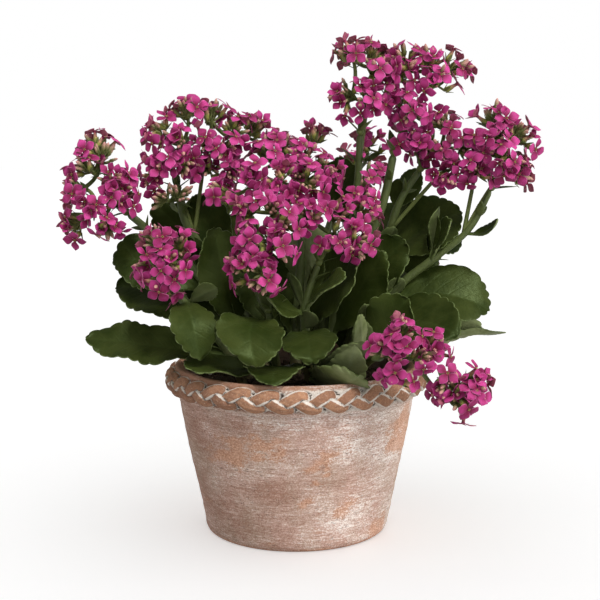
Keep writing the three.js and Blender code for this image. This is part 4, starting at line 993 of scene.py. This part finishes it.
def petalSkin():
    material, tree = newMaterial("petal_magenta", Specular_IOR_Level=0.2)
    along, across, under, tone, tube = mark(tree, "along", "across", "under", "tone", "tube")
    patches, grain = mottled(tree, 220.0)
    streaks = veined(tree, across, along, 0.12, 0.3)
    pink = blend(times(patches, 0.4), blend(tone, *flower["pink"]), flower["bright"])
    pink = blend(times(streaks, 0.16), pink, flower["vein"])
    # darker towards the throat: partly the flower's own darker eye, partly painted shade where the petals
    # meet
    pink = blend(fade(along, 0.05, 0.60, 0.85, 0.0), pink, flower["heart"])
    edge = maths("MAXIMUM", fade(maths("ABSOLUTE", across), 0.80, 1.0), fade(along, 0.88, 1.0))
    pink = blend(times(edge, 0.6), pink, flower["rim"])
    colour = blend(fade(under, 0.4, 0.8), pink, blend(patches, *flower["dusty"]))
    colour = blend(fade(tube, 0.02, 0.3), colour, blend(fade(tube, 0.3, 0.75), *flower["neck"]))
    rough = fade(grain, 0.3, 0.7, 0.48, 0.62)
    return finishMaterial(material, colour, rough, addShare(grain, streaks, -0.5), 0.00025)


def stalkSkin():
    material, tree = newMaterial("stalk_green", Specular_IOR_Level=0.4)
    blush, tip, tone = mark(tree, "blush", "tip", "tone")
    patches, grain = mottled(tree, 160.0)
    green = blend(times(patches, 0.5), blend(tone, *flower["green"]), flower["lightGreen"])
    colour = blend(blush, green, blend(fade(tip, 0.3, 0.95), *flower["bud"]))
    rough = fade(grain, 0.3, 0.7, 0.45, 0.62)
    return finishMaterial(material, colour, rough, grain, 0.0003)


petalMagenta, stalkGreen = petalSkin(), stalkSkin()
for index, (headName, (shoot, umbels)) in enumerate(heads.items()):
    rng = np.random.default_rng(500 + index)
    line = shootLines[shoot]
    heading = unit(line[-1] - line[-2])
    knuckle = line[-1] + heading * 1.3
    petals, green = newShape(), newShape()
    turning = np.array(Vector((0, 0, 1)).rotation_difference(Vector(heading)).to_matrix())
    addGreen(green, knuckle + revolved(knuckleBall, 12) @ turning.T * shoots[shoot][2], 0.3)
    addBracts(green, knuckle, heading, 3, (9, 14), rng)
    addBracts(green, line[-22], heading, 2, (8, 13), rng)
    reached = [knuckle]
    for i, (at, facing, count, *fork) in enumerate(umbels):
        sources = [pointAt(line, fork[0])] if fork else reached
        lean = flower["forkLean" if fork else "stalkLean"]
        reached.append(addUmbel(petals, green, at, facing, count, i * flower["turn"], sources, lean, rng))
    makePiece("petals_" + headName, petals, petalMagenta, "petal", "flower_head_" + headName)
    makePiece("sprays_" + headName, green, stalkGreen, "stem", "flower_head_" + headName)
print("flower heads made")

# Floor, light and camera
studio = {
    "floor": 0.93, "floorReach": 6.0, "glow": 0.31, "horizon": 0.54, "zenith": 1.06,
    "leftShare": 0.86, "rightShare": 0.90, "glossShare": 0.22,
    # each lamp: the way to it, its strength and its spread in degrees
    "lamps": {"side_light": ((0.9, -0.42, 0.30), 2.0, 45), "top_light": ((0.25, -0.60, 1.0), 2.0, 12)},
    "lens": 72.54, "sensor": 36, "cameraPlace": (0.0021, -0.727, 0.2446), "lookDown": 8.2,
}


def makeFloor():
    mesh = bpy.data.meshes.new("studio_floor")
    far = studio["floorReach"]
    mesh.from_pydata([(-far, -far, 0), (far, -far, 0), (far, far, 0), (-far, far, 0)], [], [(0, 1, 2, 3)])
    floor = bpy.data.objects.new("studio_floor", mesh)
    bpy.context.scene.collection.objects.link(floor)
    material, tree = newMaterial("studio_white", Specular_IOR_Level=0.0, Emission_Color=(1, 1, 1, 1))
    grain = noise(place(tree), 3.0)
    white = studio["floor"]
    colour = blend(grain, (white, white, white), (white * 0.99, white * 0.99, white * 0.99))
    finishMaterial(material, colour, fade(grain, 0, 1, 0.9, 1.0), grain, 0.0)
    glow = times(addNode(tree, "ShaderNodeLightPath", {}, "Is Camera Ray"), studio["glow"])
    setInputs(tree.nodes["Principled BSDF"], {"Emission Strength": glow})
    mesh.materials.append(material)
    return floor


def lightStudio(floor):
    world = bpy.data.worlds.new("studio_sky")
    world.use_nodes = True
    tree = world.node_tree
    path = tree.nodes.new("ShaderNodeLightPath").outputs
    toward = addNode(tree, "ShaderNodeTexCoord", {}, "Generated")
    z = addNode(tree, "ShaderNodeSeparateXYZ", {"Vector": toward}, "Z")
    x = z.node.outputs["X"]
    lit = times(fade(z, 0.0, 1.0, studio["horizon"], studio["zenith"]),
                fade(x, -1.0, 1.0, studio["leftShare"], studio["rightShare"]))
    glossy = times(lit, studio["glossShare"])
    lit = addNode(tree, "ShaderNodeMix", {0: path["Is Glossy Ray"], 2: lit, 3: glossy}, data_type="FLOAT")
    strength = addNode(tree, "ShaderNodeMix", {0: path["Is Camera Ray"], 2: lit, 3: 1.0}, data_type="FLOAT")
    setInputs(tree.nodes["Background"], {"Color": (1, 1, 1, 1), "Strength": strength})
    bpy.context.scene.world = world
    # the lamps leave the floor out, so that only the soft sky shades it
    leftOut = bpy.data.collections.new("left_out_of_the_lamps")
    leftOut.objects.link(floor)
    leftOut.collection_objects[0].light_linking.link_state = "EXCLUDE"
    for name, (toLamp, strength, spread) in studio["lamps"].items():
        lamp = bpy.data.lights.new(name, "SUN")
        lamp.energy = strength
        lamp.angle = math.radians(spread)
        made = bpy.data.objects.new(name, lamp)
        made.rotation_euler = Vector(toLamp).to_track_quat("Z", "Y").to_euler()
        made.light_linking.receiver_collection = leftOut
        bpy.context.scene.collection.objects.link(made)


def addCamera():
    camera = bpy.data.cameras.new("photo_camera")
    camera.lens = studio["lens"]
    camera.sensor_width = studio["sensor"]
    made = bpy.data.objects.new("photo_camera", camera)
    made.location = studio["cameraPlace"]
    made.rotation_euler = (math.radians(90 - studio["lookDown"]), 0, 0)
    bpy.context.scene.collection.objects.link(made)
    bpy.context.scene.camera = made


lightStudio(makeFloor())
addCamera()
bpy.context.scene.view_settings.view_transform = "Standard"
